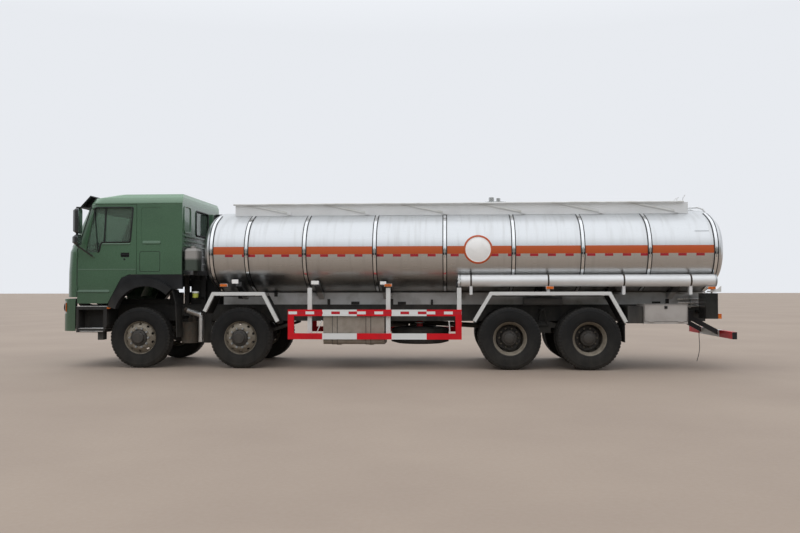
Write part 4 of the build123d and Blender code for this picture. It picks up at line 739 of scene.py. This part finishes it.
def screen_point(y, height, out=0.0):
    """A point on the windscreen in metres, from millimetres, a distance outside the glass."""
    front = -1440 + (height - 2060) / 840 * 375
    return at(face_station(front + 20, 90, y, 960) - out, y, height)


# Pieces


class TANKER_OT_stage(bpy.types.Operator):
    """Camera at the photograph's place, pale floor and soft light"""

    bl_idname = "tanker.stage"
    bl_label = "Stage and camera"

    def execute(self, context):
        things = context.scene.collection.objects
        yaw, pitch, roll = radians(3.34), radians(1.41), radians(-0.08)
        ahead = Vector((sin(yaw) * cos(pitch), -cos(yaw) * cos(pitch), sin(pitch)))
        right = Vector((-cos(yaw), -sin(yaw), 0))
        up = Vector((-sin(yaw) * sin(pitch), cos(yaw) * sin(pitch), cos(pitch)))
        rolled_right = right * cos(roll) + up * sin(roll)
        rolled_up = up * cos(roll) - right * sin(roll)
        data = bpy.data.cameras.new("photo camera")
        data.lens = sizes().lens
        data.sensor_width = 36
        data.clip_end = 400
        camera = bpy.data.objects.new("photo camera", data)
        things.link(camera)
        turn = Matrix((rolled_right, rolled_up, -ahead)).transposed().to_4x4()
        camera.matrix_world = Matrix.Translation((-1.024, 15.082, 1.437)) @ turn
        context.scene.camera = camera
        # Cast concrete, floated: pale, matt, with faint clouds so that wheels read as standing on it
        tree, place = begin("floor", "concrete floated smooth")
        cloud = put(tree, "MapRange", blots(tree, place, 2600, 5.0), 0.35, 0.7)
        cast = put(tree, "Mix", inputs={0: cloud, 6: linear("968779"), 7: linear("8e7f72")}, **RGBA)
        surface(tree, {
            "Base Color": cast,
            "Roughness": put(tree, "MapRange", blots(tree, place, 40), 0.3, 0.7, 0.75, 0.9),
        })
        mesh = bpy.data.meshes.new("floor")
        mesh.from_pydata(slab((-150, 150), (-150, 30), 0), [], [(0, 1, 2, 3)])
        mesh.materials.append(FINISH["floor"])
        floor = bpy.data.objects.new("floor", mesh)
        things.link(floor)
        # White overcast, brighter overhead, with a dark line of trees low down on one side
        world = bpy.data.worlds.new("soft sky")
        world.use_nodes = True
        tree = world.node_tree
        tree.nodes.clear()
        _, y, z = put(tree, "SeparateXYZ", put(tree, "TexCoord", out="Generated")).node.outputs
        low = put(tree, "MapRange", z, 0.17, 0.1)
        trees = put(tree, "Math", low, put(tree, "MapRange", y, 0.0, 0.25), operation="MULTIPLY")
        sky = put(tree, "Mix", inputs={0: trees, 6: linear("eaedf2"), 7: linear("6f736c")}, **RGBA)
        strength = put(tree, "MapRange", z, 0.3, 0.7, 0.98, 1.5)
        put(tree, "OutputWorld", put(tree, "Background", sky, strength))
        context.scene.world = world
        # The photograph's colours are plain sRGB, with no film curve
        context.scene.view_settings.view_transform = "Standard"
        for name, energy, spread, spot in (
            ("high sun", 0.7, 80, (4.0, 9.0, 14.0)),
            ("far fill", 0.3, 60, (7.0, -12.0, 9.0)),
        ):
            light = bpy.data.lights.new(name, "SUN")
            light.energy = energy
            light.angle = radians(spread)
            lamp = bpy.data.objects.new(name, light)
            lamp.visible_glossy = False
            lamp.matrix_world = Vector(spot).to_track_quat("Z", "Y").to_matrix().to_4x4()
            things.link(lamp)
        return {"FINISHED"}


class TANKER_OT_finishes(bpy.types.Operator):
    """Finishes of all CAD pieces that keep their shape"""

    bl_idname = "tanker.finishes"
    bl_label = "Finishes"

    def execute(self, context):
        make_finishes()
        for finish, names in NODE_FINISHES.items():
            for name in names:
                node = NODES[name]
                if not node.material_slots:
                    node.data.materials.append(None)
                for slot in node.material_slots:
                    slot.material = FINISH[finish]
        return {"FINISHED"}


def fit_wheels(name, node, single, twin):
    """Puts one mesh on each front wheel and another on each pair behind, in place of their nodes."""
    for wheels, mesh, middle in ((FRONT_WHEELS, single, FRONT_WHEEL_Y), (REAR_WHEELS, twin, TWIN_Y)):
        for axle, station in wheels:
            for side, sign in SIDES:
                place = Matrix.Translation(at(station, sign * middle, AXLE_HEIGHT))
                if sign < 0:
                    place = place @ Matrix.Rotation(pi, 4, "Z")
                label = "%d_%s" % (axle, side)
                piece = place_mesh(name + label, mesh, "wheel_" + label, place)
                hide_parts(node + label)


def tyre_shape(offsets):
    """One tyre, or a pair, round the Y axis: beads, side rings, shoulder blocks and four grooves."""
    shape = Shape()
    outer = sizes().tyre_radius
    groove = outer - sizes().groove_depth
    # Half section: distance from the middle, radius
    side = [
        (0.124, 0.289), (0.131, 0.297), (0.139, 0.309), (0.1405, 0.318), (0.1375, 0.322), (0.1405, 0.327),
        (0.145, 0.345), (0.1475, 0.380), (0.148, 0.418), (0.1465, 0.450), (0.1435, 0.466), (0.1455, 0.470),
        (0.1425, 0.474), (0.1395, 0.490),
    ]
    shoulder = [(0.1335, 0.508), (0.1265, 0.522), (0.1185, 0.5315)]
    tread = [
        (0.1165, outer - 0.001), (0.081, outer), (0.0785, groove), (0.0715, groove), (0.069, outer),
        (0.034, outer), (0.0315, groove), (0.0245, groove), (0.022, outer),
    ]
    half = side + shoulder + tread
    section = half + [(-y, r) for y, r in reversed(half)]
    first = len(side)
    notched = set(range(first, first + 5)) | set(range(len(section) - first - 5, len(section) - first))
    pitches = 54
    for offset in offsets:
        loops = []
        for i in range(pitches):
            for share, cut in ((0.0, 0), (0.56, 0), (0.62, 1), (0.94, 1)):
                angle = 2 * pi * (i + share) / pitches
                loop = []
                for j, (y, r) in enumerate(section):
                    if cut and j in notched:
                        r -= 0.009 if r > 0.529 else 0.007
                    loop.append((r * cos(angle), y + offset, r * sin(angle)))
                loops.append(loop)
        loops.append(loops[0])
        shape.skin(loops, ends=False)
    return shape


class TANKER_OT_tyres(bpy.types.Operator):
    """Twelve road tyres with tread"""

    bl_idname = "tanker.tyres"
    bl_label = "Tyres"

    def execute(self, context):
        single = tyre_shape((0.0,)).mesh("tyre", ("rubber",), 40)
        twin = tyre_shape((-TWIN_OFFSET, TWIN_OFFSET)).mesh("twin tyres", ("rubber",), 40)
        fit_wheels("road_tyre_", "tyre_", single, twin)
        return {"FINISHED"}


def pierced(profile, circle, along, tilt, size):
    """Points and faces of a turned disc with ten round holes, their axes tilted outwards."""
    disc = Shape()
    disc.turn(profile)
    holes = Shape()
    for i in range(10):
        angle = 2 * pi * (i + 0.5) / 10
        out = Vector((cos(angle), 0, sin(angle)))
        axis = (out * sin(tilt) + Vector((0, 1, 0)) * cos(tilt)).normalized()
        centre = out * circle + Vector((0, along, 0))
        holes.tube([centre - axis * 0.06, centre + axis * 0.06], size, 16)
    things = bpy.context.scene.collection.objects
    body = bpy.data.objects.new("disc", disc.mesh("disc", ("rim",)))
    tool = bpy.data.objects.new("cutters", holes.mesh("cutters", ("rim",)))
    for thing in (body, tool):
        things.link(thing)
    cut = body.modifiers.new("Holes", "BOOLEAN")
    cut.object = tool
    cut.operation = "DIFFERENCE"
    cut.solver = "EXACT"
    bpy.context.view_layer.update()
    graph = bpy.context.evaluated_depsgraph_get()
    result = bpy.data.meshes.new_from_object(body.evaluated_get(graph))
    for thing in (body, tool):
        bpy.data.objects.remove(thing)
    return [v.co for v in result.vertices], [tuple(p.vertices) for p in result.polygons]


def rim_ring(shape, offset):
    """The rim's barrel with its two lips, round the Y axis."""
    section = [
        (0.299, -0.126), (0.300, -0.119), (0.288, -0.115), (0.2855, -0.070), (0.252, -0.040), (0.252, 0.034),
        (0.2855, 0.070), (0.287, 0.104), (0.293, 0.113), (0.301, 0.119), (0.3015, 0.126), (0.296, 0.128),
        (0.288, 0.121), (0.279, 0.112), (0.270, 0.084), (0.262, 0.066), (0.241, 0.034), (0.241, -0.040),
        (0.276, -0.074), (0.280, -0.112), (0.290, -0.122),
    ]
    shape.turn([(r, y + offset) for r, y in section])


class TANKER_OT_rims(bpy.types.Operator):
    """Wheels with hand holes, nuts and hubs"""

    bl_idname = "tanker.rims"
    bl_label = "Rims and hubs"

    def front_mesh(self):
        shape = Shape()
        rim_ring(shape, 0.0)
        profile = [
            (0.268, 0.078), (0.264, 0.088), (0.258, 0.094), (0.222, 0.127), (0.209, 0.146), (0.198, 0.156),
            (0.184, 0.160), (0.118, 0.160), (0.118, 0.146), (0.180, 0.146), (0.190, 0.143), (0.199, 0.134),
            (0.214, 0.112), (0.250, 0.078), (0.262, 0.066),
        ]
        shape.add(*pierced(profile, 0.239, 0.109, radians(43), 0.026))
        shape.mark = 1
        shape.nuts(10, NUT_CIRCLE, 0.160, 0.021, 0.030)
        shape.mark = 2
        shape.ring(0.126, 0.152, 0.158, 0.1615)
        hub = [
            (0.205, -0.060), (0.205, 0.030), (0.120, 0.032), (0.120, 0.163), (0.128, 0.166), (0.128, 0.186),
            (0.116, 0.192), (0.100, 0.194), (0.096, 0.222), (0.086, 0.232), (0.0, 0.236), (0.0, -0.060),
        ]
        shape.turn(hub, sides=48)
        shape.nuts(8, 0.110, 0.192, 0.008, 0.008, shift=0.5)
        shape.mark = 0
        shape.ring(0.150, 0.186, 0.158, 0.163)
        return shape.mesh("front wheel", ("rim", "zinc", "hub"))

    def rear_mesh(self):
        shape = Shape()
        for sign in (-1, 1):
            rim_ring(shape, sign * TWIN_OFFSET)
        profile = [
            (0.240, 0.130), (0.236, 0.110), (0.218, 0.040), (0.205, 0.018), (0.190, 0.014), (0.120, 0.014),
            (0.120, 0.001), (0.198, 0.001), (0.213, 0.014), (0.230, 0.100), (0.236, 0.134),
        ]
        shape.mark = 2
        for sign in (1, -1):
            mirrored = [(r, sign * y) for r, y in profile]
            shape.add(*pierced(mirrored, 0.226, sign * 0.075, sign * radians(74), 0.024))
        shape.mark = 1
        shape.nuts(10, NUT_CIRCLE, 0.014, 0.019, 0.028)
        shape.mark = 2
        hub = [
            (0.205, -0.230), (0.205, -0.016), (0.142, -0.014), (0.142, 0.120), (0.136, 0.150),
            (0.122, 0.158), (0.122, 0.172), (0.092, 0.176), (0.088, 0.196), (0.070, 0.204), (0.0, 0.206),
            (0.0, -0.230),
        ]
        shape.turn(hub, sides=48)
        shape.nuts(12, 0.107, 0.172, 0.009, 0.010, shift=0.5)
        # Valve stem reaching out of the dish
        shape.mark = 1
        shape.tube([(0.236, 0.07, 0.06), (0.232, 0.20, 0.06), (0.236, 0.235, 0.06)], 0.0045, 8)
        return shape.mesh("twin wheel", ("rim", "rim", "hub"))

    def execute(self, context):
        fit_wheels("wheel_disc_", "rim_", self.front_mesh(), self.rear_mesh())
        return {"FINISHED"}


class TANKER_OT_tank_dress(bpy.types.Operator):
    """Bands round the tank, round blank signs, side plates and marker lamps"""

    bl_idname = "tanker.tank_dress"
    bl_label = "Tank bands, signs and markers"

    def bands(self):
        """Polished bands with dark edges; their directions and rows are in degrees and millimetres."""
        shape = Shape()
        first, last = 18.8, 165.5
        angles = [first + (last - first) * i / 64 for i in range(65)]
        # Across the band: distance from its middle, proud of the shell, finish
        rows = ((-40, 3.5, 1), (-40, 9.0, 1), (-23, 10.0, 0), (23, 10.0, 1), (40, 9.0, 1), (40, 3.5, 1))
        for station in BAND_STATIONS:
            for side, sign in SIDES:
                for one, two in zip(rows, rows[1:]):
                    loops = []
                    for angle in angles:
                        loop = []
                        for across, grow, _ in (one, two):
                            y, z = ring_point(angle, grow)
                            loop.append((x_at(station + across), sign * y, z))
                        loops.append(loop)
                    shape.mark = one[2]
                    shape.skin(loops, around=False, ends=False)
        # Buckle that draws the two halves of a band together, with its bolt
        for station in BAND_STATIONS:
            for side, sign in SIDES:
                for low, high, half, out, mark in ((1978, 2018, 25, 14, 3), (1925, 2100, 7, 18, 2)):
                    shape.mark = mark
                    heights = [low + (high - low) * k / 5 for k in range(6)]
                    shape.on_tank(station, half, sign, heights, 9, out)
        piece = shape.make("band_sheets", "chassis", "polished", "seal", "zinc", "chassis", smooth=30)
        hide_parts("tank_bands")

    def dashes(self):
        """Red reflecting film under the stripe: the first dash of each run and how many follow at 300 mm."""
        runs = (
            (1615, 2), (2010, 4), (2994, 5), (4262, 4), (5559, 1), (6240, 2), (6617, 4), (7883, 4),
            (9110, 3),
        )
        for side, sign in SIDES:
            shape = Shape()
            for first, count in runs:
                for i in range(count):
                    shape.on_tank(first + 300 * i, 70, sign, (1950, 1972, 1994), -0.5, 0.8)
            shape.make("dashes_" + side, "chassis", "red_film")
            # Thin strip on the shell near the rear head
            shape = Shape()
            edge = ((2371, 1), (2381, 1), (2381, 4), (2371, 4))
            points = [(sign * shell_point(z, out), z / 1000) for z, out in edge]
            shape.plate(points, x_at(9642), x_at(9880), axis="x")
            shape.make("rear_strip_" + side, "chassis", "zinc")

    def signs(self):
        """Blank disc and its ring, bent to the shell."""
        edge = sizes().sign_radius * 1000
        # Distance from the middle, proud of the shell, finish
        rows = (
            (0, 0, 0), (edge - 34, 0, 0), (edge - 33, 1, 1), (edge - 2, 1, 1), (edge, 0, 1), (edge, -2, 1),
        )
        for side, sign in SIDES:
            shape = Shape()
            for (r_1, up_1, mark), (r_2, up_2, _) in zip(rows, rows[1:]):
                steps = 8 if r_1 == 0 else 1
                loops = []
                for i in range(97):
                    angle = 2 * pi * (i % 96) / 96
                    loop = []
                    for k in range(steps + 1):
                        radius = r_1 + (r_2 - r_1) * k / steps
                        height = SIGN_HEIGHT + radius * sin(angle)
                        y = shell_point(height, 3 + up_1 + (up_2 - up_1) * k / steps)
                        loop.append((x_at(SIGN_STATION - radius * cos(angle)), sign * y, height / 1000))
                    loops.append(loop)
                shape.mark = mark
                shape.skin(loops, around=False, ends=False)
            shape.make("round_sign_" + side, "chassis", "film", "orange", smooth=60)

    def plates(self):
        """Small blank plates and amber markers along the foot of the tank."""
        y = 1206
        for side, sign in SIDES:
            shape = Shape()
            for low, high, foot, top in (
                (1661, 1777, 1489, 1559), (3064, 3197, 1472, 1535), (4268, 4372, 1467, 1521),
            ):
                shape.mark = 0
                shape.box((low, high), (sign * (y - 3), sign * y), (foot, top))
                shape.mark = 1
                middle = (low + high) / 2
                shape.box((middle - 12, middle + 12), (sign * (y - 3), sign * 950), (foot - 4, foot + 2))
            for station, height in ((1524, 1459), (4408, 1455), (7181, 1409), (9890, 1401)):
                shape.mark = 2
                x = FIRST_AXLE_X - station
                lens = rounded(x - 62, x + 62, height - 22, height + 22, 14)
                shape.plate(lens, sign * 1.226, sign * 1.243)
                shape.mark = 1
                x, z = (station - 66, station + 66), (height - 25, height + 25)
                shape.box(x, (sign * 1196, sign * 1226), z)
            shape.make("plates_and_markers_" + side, "chassis", "film", "silver", "amber", bevel=1.5)

    def execute(self, context):
        self.bands()
        self.dashes()
        self.signs()
        self.plates()
        return {"FINISHED"}


class TANKER_OT_cab_dress(bpy.types.Operator):
    """Window seals, seams, handles, pressed panels, treads and mirror glass"""

    bl_idname = "tanker.cab_dress"
    bl_label = "Cab trim"

    def execute(self, context):
        window = ((-996, 2050), (-748, 2050), (-712, 2224), (-183, 2224), (-130, 2850), (-835, 2850))
        for side, sign in SIDES:
            door = "door_" + side
            skin = sign * CAB_HALF
            # Rubber round the window and the bar of its quarter pane
            shape = Shape()
            loop = [at(s, skin + sign * 1, z) for s, z in window]
            path = bent([loop[-1]] + loop + [loop[0], loop[1]], 0.04, 4)[7:-7]
            shape.tube(path + [path[0]], 0.017, 10, flat=0.5)
            shape.tube([at(-660, skin - sign * 8, 2215), at(-628, skin - sign * 8, 2855)], 0.013, 8)
            shape.make("window_seal_" + side, door, "seal", smooth=50)
            # Lining of the handle's recess, the lever over the CAD bar, and the lock
            shape = Shape()
            shape.box((-354, -206), (skin - sign * 22, skin - sign * 20), (1961, 2039))
            shape.box((-357, -203), (skin - sign * 13, skin + sign * 5), (1995, 2029))
            lock = [(0, 0), (0.016, 0), (0.016, sign * 0.006), (0, sign * 0.007)]
            shape.turn(lock, at(-290, skin, 1925), 24, closed=False)
            shape.make("door_handle_" + side, door, "plastic", bevel=3)
            # Crease, ledge and window sill pressed in the door: each a slope that faces the sky
            shape = Shape()
            for low, high, z, rise, slope in (
                (-1138, -80, 1739, 4, 14), (-1138, -560, 1342, 14, 42), (-690, -190, 2190, 12, 26),
            ):
                outline = ((z - 9, 0), (z - 2, sign * rise), (z + 2, sign * rise), (z + slope, 0))
                shape.bar((low, high), skin - sign, outline)
            shape.make("door_creases_" + side, door, "green", smooth=60)
            shape = Shape()
            outline = ((2190, 0), (2198, sign * 9), (2208, sign * 9), (2250, -sign * 5), (2190, -sign * 5))
            shape.bar((40, 360), skin, outline)
            shape.make("sleeper_ledge_" + side, "cab", "green", bevel=3)
            # Seam of the front corner
            shape = Shape()
            seam = [at(-1147, skin, 1255), at(-1147, skin, 2085), at(-884, skin, 2889)]
            shape.tube(seam, 0.008, 8, flat=0.5)
            shape.make("corner_seam_" + side, "cab", "seal")
            # Rubber in the groove of the sleeper's hatch
            shape = Shape()
            hatch = rounded(FIRST_AXLE_X - 352, FIRST_AXLE_X + 12, 1703, 2061, 36)
            shape.tube([(a, (skin - sign * 4) / 1000, b) for a, b in hatch], 0.0035, 6, closed=True)
            shape.make("hatch_seal_" + side, "cab", "seal")
            # Step treads, ribbed
            shape = Shape()
            for low, high, z in ((-1131, -577, 1084), (-1100, -600, 694)):
                shape.box((low, high), (sign * 965, sign * 1200), (z, z + 5))
                for i in range(9):
                    y = 985 + i * 24
                    shape.box((low + 20, high - 20), (sign * y, sign * (y + 9)), (z + 5, z + 11))
            shape.box((-1066, -649), (sign * 1196, sign * 1201), (641, 655))
            shape.make("step_treads_" + side, "chassis", "bright", bevel=1)
            # Mirror glass, facing back
            shape = Shape()
            for low, high, s in ((2385, 2800, -999), (2185, 2335, -1009)):
                outline = rounded(sign * 1360 - 78, sign * 1360 + 78, low, high, 30)
                shape.plate(outline, x_at(s), x_at(s + 3), axis="x")
            shape.make("mirror_glass_" + side, door, "mirror", bevel=1)
        return {"FINISHED"}


class TANKER_OT_lamps(bpy.types.Operator):
    """Headlamp bowls, corner indicators, tail lamps and step markers"""

    bl_idname = "tanker.lamps"
    bl_label = "Lamps"

    def execute(self, context):
        for side, sign in SIDES:
            # Lenses of the tail lamps: finish, proud, distance from the middle, height
            shape = Shape()
            for mark, proud, near, far, foot, top in (
                (0, 5, 850, 1010, 1190, 1290), (1, 5, 850, 1010, 1080, 1180), (1, 5, 1030, 1180, 1080, 1290),
                (2, 5, 850, 1180, 970, 1065), (0, 71, 1090, 1190, 880, 965),
            ):
                shape.mark = mark
                shape.box((TAIL, TAIL + proud), (sign * near, sign * far), (foot, top))
            shape.make("tail_lamps_" + side, "chassis", "amber", "ruby", "clear", bevel=6)
            shape = Shape()
            outline = [(-5.47, 1.330), (-5.485, 1.372), (-5.59, 1.378), (-5.66, 1.44), (-5.66, 1.335)]
            shape.plate(outline, sign * 1.185, sign * 1.190)
            shape.box((9868, 9888), (sign * 1040, sign * 1188), (1334, 1352))
            shape.make("marker_bracket_" + side, "chassis", "white", bevel=1)
            # Two bowls with their rings in each headlamp, an indicator on the corner
            shape = Shape()
            for y, radius in ((800, 0.078), (965, 0.072)):
                face = at(face_station(-1500, 75, y, 1020) + 8, sign * y, 1068)
                shape.mark = 0
                bowl = [(0.0, 0.002), (radius * 0.6, 0.003), (radius, 0.006), (radius, -0.02)]
                shape.turn(bowl, face, 40, "x", False)
                shape.mark = 1
                ring = [(radius, -0.02), (radius, 0.007), (radius + 0.009, 0.007), (radius + 0.009, -0.02)]
                shape.turn(ring, face, 40, "x", False)
            shape.mark = 2
            shape.box((-1352, -1346), (sign * 1080, sign * 1140), (990, 1150))
            shape.make("headlamp_bowls_" + side, "chassis", "mirror", "plastic", "amber")
            # Marker on the step box
            shape = Shape()
            outline = rounded(FIRST_AXLE_X + 510, FIRST_AXLE_X + 576, 1046, 1078, 10)
            shape.plate(outline, sign * 1.198, sign * 1.203)
            shape.make("step_marker_" + side, "chassis", "amber", bevel=1)
        return {"FINISHED"}


class TANKER_OT_front_dress(bpy.types.Operator):
    """Wipers, screen seal, grille fins and the details of the cab's rear wall"""

    bl_idname = "tanker.front_dress"
    bl_label = "Windscreen, grille and rear wall"

    def execute(self, context):
        # Rubber round the windscreen
        shape = Shape()
        corners = ((-1000, 2150), (1000, 2150), (940, 2830), (-940, 2830))
        outline = []
        for (y_1, z_1), (y_2, z_2) in zip(corners, corners[1:] + corners[:1]):
            outline += [(y_1 + (y_2 - y_1) * k / 10, z_1 + (z_2 - z_1) * k / 10) for k in range(10)]
        shape.tube([screen_point(y * 0.985, z, 12) for y, z in outline], 0.014, 8, closed=True)
        shape.make("screen_seal", "cab", "seal", smooth=60)
        # Three wipers parked along the foot of the glass: arm, blade and pivot
        shape = Shape()
        for pivot, tip in ((-780, -180), (-60, 520), (560, 60)):
            low = screen_point(pivot, 2118, 4)
            high = screen_point(tip, 2235, 14)
            shape.tube([low, low.lerp(high, 0.5) + Vector((0.012, 0, 0.0)), high], 0.007, 8)
            turn = 1 if tip > pivot else -1
            steps = [k - 4 for k in range(9)]
            shape.tube([screen_point(tip + k * 78 * turn, 2235 + k * 9, 8) for k in steps], 0.008, 6)
            shape.turn([(0, -0.01), (0.02, -0.01), (0.02, 0.016), (0.0, 0.02)], low, 16, "x", False)
        shape.make("wipers", "cab", "plastic", smooth=50)
        # Fins behind the slots of the front panel
        shape = Shape()
        for row in range(4):
            low = 1340 + row * 110
            for i in range(25):
                y = -600 + i * 50
                s = face_station(-1440, 75, y, 960)
                shape.box((s, s + 12), (y - 3, y + 3), (low - 4, low + 64))
        shape.make("grille_fins", "front_panel", "plastic")
        # Rear wall: frame round the window, pressed ribs, and an upright pressing on each side of the window
        wall = x_at(CAB_REAR)
        shape = Shape()
        window = rounded(-378, 378, 2384, 2842, 60)
        shape.tube([(wall - 0.001, a, b) for a, b in window], 0.018, 8, closed=True)
        shape.make("rear_window_seal", "cab", "seal", smooth=60)
        shape = Shape()
        for z in (1860, 2000, 2165, 2250, 2335):
            shape.plate(rounded(-1040, 1040, z - 14, z + 14, 13), wall + 0.004, wall - 0.021, axis="x")
        for side, sign in SIDES:
            outline = rounded(-185, 185, 2400, 2868, 70)
            shape.tube([(wall - 0.002, sign * 0.885 + a, b) for a, b in outline], 0.015, 8, closed=True)
        shape.make("rear_wall_ribs", "cab", "green", bevel=3, smooth=50)
        return {"FINISHED"}


class TANKER_OT_chassis_dress(bpy.types.Operator):
    """Exhaust sleeve, shields and a black sheet of painted shade, straps and caps of the tanks, tool box
    frame, hose tube rings
    """

    bl_idname = "tanker.chassis_dress"
    bl_label = "Chassis details"

    def engine(self):
        """Sleeve of the exhaust, and dark sheets beside the engine, the gearbox and the exhaust; the one in
        the front wheel arch is painted shade.
        """
        shape = Shape()
        shape.bellows(at(790, 950, 1013), at(1020, 950, 935), 0.047, 0.054, 12)
        shape.tube(bent([at(1000, 950, 942), at(1036, 950, 930), at(1039, 950, 860)], 0.03), 0.048, 20)
        shape.bellows(at(1039, 950, 862), at(1040, 950, 452), 0.0475, 0.051, 20)
        shape.make("exhaust_sleeve", "chassis", "bright", smooth=50)
        for side, sign in SIDES:
            shape = Shape()
            # Painted shade: a black sheet in the wheel arch behind the first axle, where there is only shade
            shape.box((290, 556), (sign * 440, sign * 446), (1106, 1330))
            shape.box((650, 1190), (sign * 300, sign * 306), (1106, 1560))
            if sign > 0:
                shape.box((925, 1170), (742, 746), (420, 1000))
            shape.make("shade_sheets_and_shields_" + side, "chassis", "plastic", bevel=1)

    def tanks(self):
        """Straps and end rings of the hose tube, rubber and filler cap of the fuel tank."""
        shape = Shape()
        for station in (5839, 7160, 8437, 9557):
            shape.ring(0.1045, 0.1058, -0.014, 0.014, at(station, *HOSE_TUBE), 48, "x")
        shape.make("hose_tube_straps", "chassis", "rust")
        shape = Shape()
        for low, high in ((9955, 9984), (5650, 5668)):
            shape.ring(0.1045, 0.108, 0.0, (high - low) / 1000, at(high, *HOSE_TUBE), 48, "x")
        shape.make("hose_tube_rings", "chassis", "zinc", bevel=1)
        shape = Shape()
        for station in (3433, 3517, 4019, 4103):
            path = [(x_at(station), a, b) for a, b in rounded(554, 1186, 424, 956, 66)]
            shape.tube(path, 0.0045, 6, closed=True)
        cap = [(0.058, -0.01), (0.058, 0.022), (0.050, 0.030), (0.0, 0.032)]
        shape.turn(cap, at(3860, 1010, 950), 32, "z", False)
        shape.box((3820, 3900), (1002, 1018), (980, 990))
        shape.make("fuel_tank_trim", "chassis", "seal")

    def brackets(self):
        """Slanted stays behind the guards, and clamps between beam and frame with a bolt at each end."""
        for side, sign in SIDES:
            shape = Shape()
            for high, low in (((3249, 838), (3161, 630)), ((5459, 829), (5477, 620))):
                ends = [at(s, sign * 1196, z) for s, z in (high, low)]
                shape.tube(ends, 0.010, 10)
                for end in ends:
                    shape.tube([end, end + Vector((0, sign * 0.012, 0))], 0.014, 8)
            shape.make("guard_stays_" + side, "chassis", "white")
        shape = Shape()
        for station, height, length, depth in (
            (1622, 1233, 90, 40), (2279, 1290, 60, 80), (3260, 1150, 50, 110), (3749, 1134, 150, 50),
            (4420, 1150, 50, 110), (4603, 1131, 150, 50), (5151, 1150, 40, 90), (9166, 1140, 150, 36),
            (9360, 1150, 60, 110),
        ):
            x = (station - length / 2, station + length / 2)
            z = (height - depth / 2, height + depth / 2)
            for side, sign in SIDES:
                shape.box(x, (sign * 425, sign * 443), z)
                for end in (-1, 1):
                    bolt = at(station + end * length * 0.3, sign * 443, height)
                    shape.ring(0, 0.011, 0, sign * 0.012, bolt, 6)
        shape.make("frame_clamps", "chassis", "chassis", bevel=2)

    def outlet(self):
        """Discharge lines with their valves, the hose that climbs to the tube's end, the yellow levers."""
        shape = Shape()
        for y, z, radius in ((500, 1205, 0.022), (540, 1140, 0.020), (480, 1080, 0.022)):
            shape.tube([at(9520, y, z), at(10010, y, z)], radius, 14)
            shape.mark = 1
            shape.ring(radius, 0.045, -0.012, 0.012, at(9740, y, z), 20, "x")
            shape.mark = 0
        climb = [at(9960, 620, 1190), at(10010, 760, 1240), at(9985, 980, 1360), at(9960, 1100, 1425)]
        shape.tube(bent(climb, 0.08), 0.014, 10)
        shape.mark = 2
        shape.box((9880, 9990), (565, 585), (1142, 1166))
        shape.box((9985, 10035), (430, 450), (1225, 1240))
        shape.make("discharge_lines", "chassis", "bright", "zinc", "yellow", smooth=50)

    def tool_box(self):
        """Turned-up frame and lock of the tool box's door."""
        shape = Shape()
        for low, high, foot, top in (
            (8775, 9475, 838, 850), (8775, 9475, 1104, 1116),
            (8775, 8787, 838, 1116), (9463, 9475, 838, 1116),
        ):
            shape.box((low, high), (1228, 1233), (foot, top))
        shape.mark = 1
        shape.box((9100, 9150), (1228, 1240), (1050, 1095))
        shape.make("tool_box_frame", "tool_door", "grey", "plastic", bevel=1.5)

    def execute(self, context):
        self.engine()
        self.tanks()
        self.brackets()
        self.outlet()
        self.tool_box()
        return {"FINISHED"}


class TANKER_OT_earth_strap(bpy.types.Operator):
    """Earthing strap that hangs behind the tank"""

    bl_idname = "tanker.earth_strap"
    bl_label = "Earthing strap"

    def execute(self, context):
        # Its route in the middle plane, as X and height in metres
        route = (
            (-5.660, 0.985), (-5.660, 0.830), (-5.649, 0.674), (-5.646, 0.515), (-5.658, 0.357),
            (-5.650, 0.203), (-5.603, 0.052),
        )
        curve = bpy.data.curves.new("earthing strap", "CURVE")
        curve.dimensions = "3D"
        line = curve.splines.new("NURBS")
        line.points.add(len(route) - 1)
        for point, (x, z) in zip(line.points, route):
            point.co = (x, 0, z, 1)
        line.order_u = 3
        line.use_endpoint_u = True
        curve.resolution_u = 12
        curve.bevel_depth = 0.006
        curve.bevel_resolution = 4
        curve.use_fill_caps = True
        curve.materials.append(FINISH["seal"])
        strap = place_mesh("earthing_strap", curve, "chassis")
        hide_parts("earth_strap")
        return {"FINISHED"}


CLASSES = (
    TankerColours,
    TankerSizes,
    TANKER_OT_stage,
    TANKER_OT_finishes,
    TANKER_OT_tyres,
    TANKER_OT_rims,
    TANKER_OT_tank_dress,
    TANKER_OT_cab_dress,
    TANKER_OT_lamps,
    TANKER_OT_front_dress,
    TANKER_OT_chassis_dress,
    TANKER_OT_earth_strap,
)
STEPS = tuple(c for c in CLASSES if issubclass(c, bpy.types.Operator))


class TANKER_PT_panel(bpy.types.Panel):
    """Lists the sizes, colours and steps of the truck"""

    bl_label = "Tank truck"
    bl_idname = "TANKER_PT_panel"
    bl_space_type = "VIEW_3D"
    bl_region_type = "UI"
    bl_category = "Tanker"

    def draw(self, context):
        for group in (context.scene.tanker_colours, context.scene.tanker_sizes):
            for name in group.__annotations__:
                self.layout.prop(group, name)
        for step in STEPS:
            self.layout.operator(step.bl_idname)


def register():
    """Registers the classes and the scene's groups of sizes and colours."""
    for c in CLASSES + (TANKER_PT_panel,):
        bpy.utils.register_class(c)
    bpy.types.Scene.tanker_colours = bpy.props.PointerProperty(type=TankerColours)
    bpy.types.Scene.tanker_sizes = bpy.props.PointerProperty(type=TankerSizes)


def unregister():
    """Takes the groups and classes out again."""
    del bpy.types.Scene.tanker_sizes
    del bpy.types.Scene.tanker_colours
    for c in reversed(CLASSES + (TANKER_PT_panel,)):
        bpy.utils.unregister_class(c)


def main():
    """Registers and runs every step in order."""
    register()
    for step in STEPS:
        group, name = step.bl_idname.split(".")
        getattr(getattr(bpy.ops, group), name)()


if __name__ == "__main__":
    main()
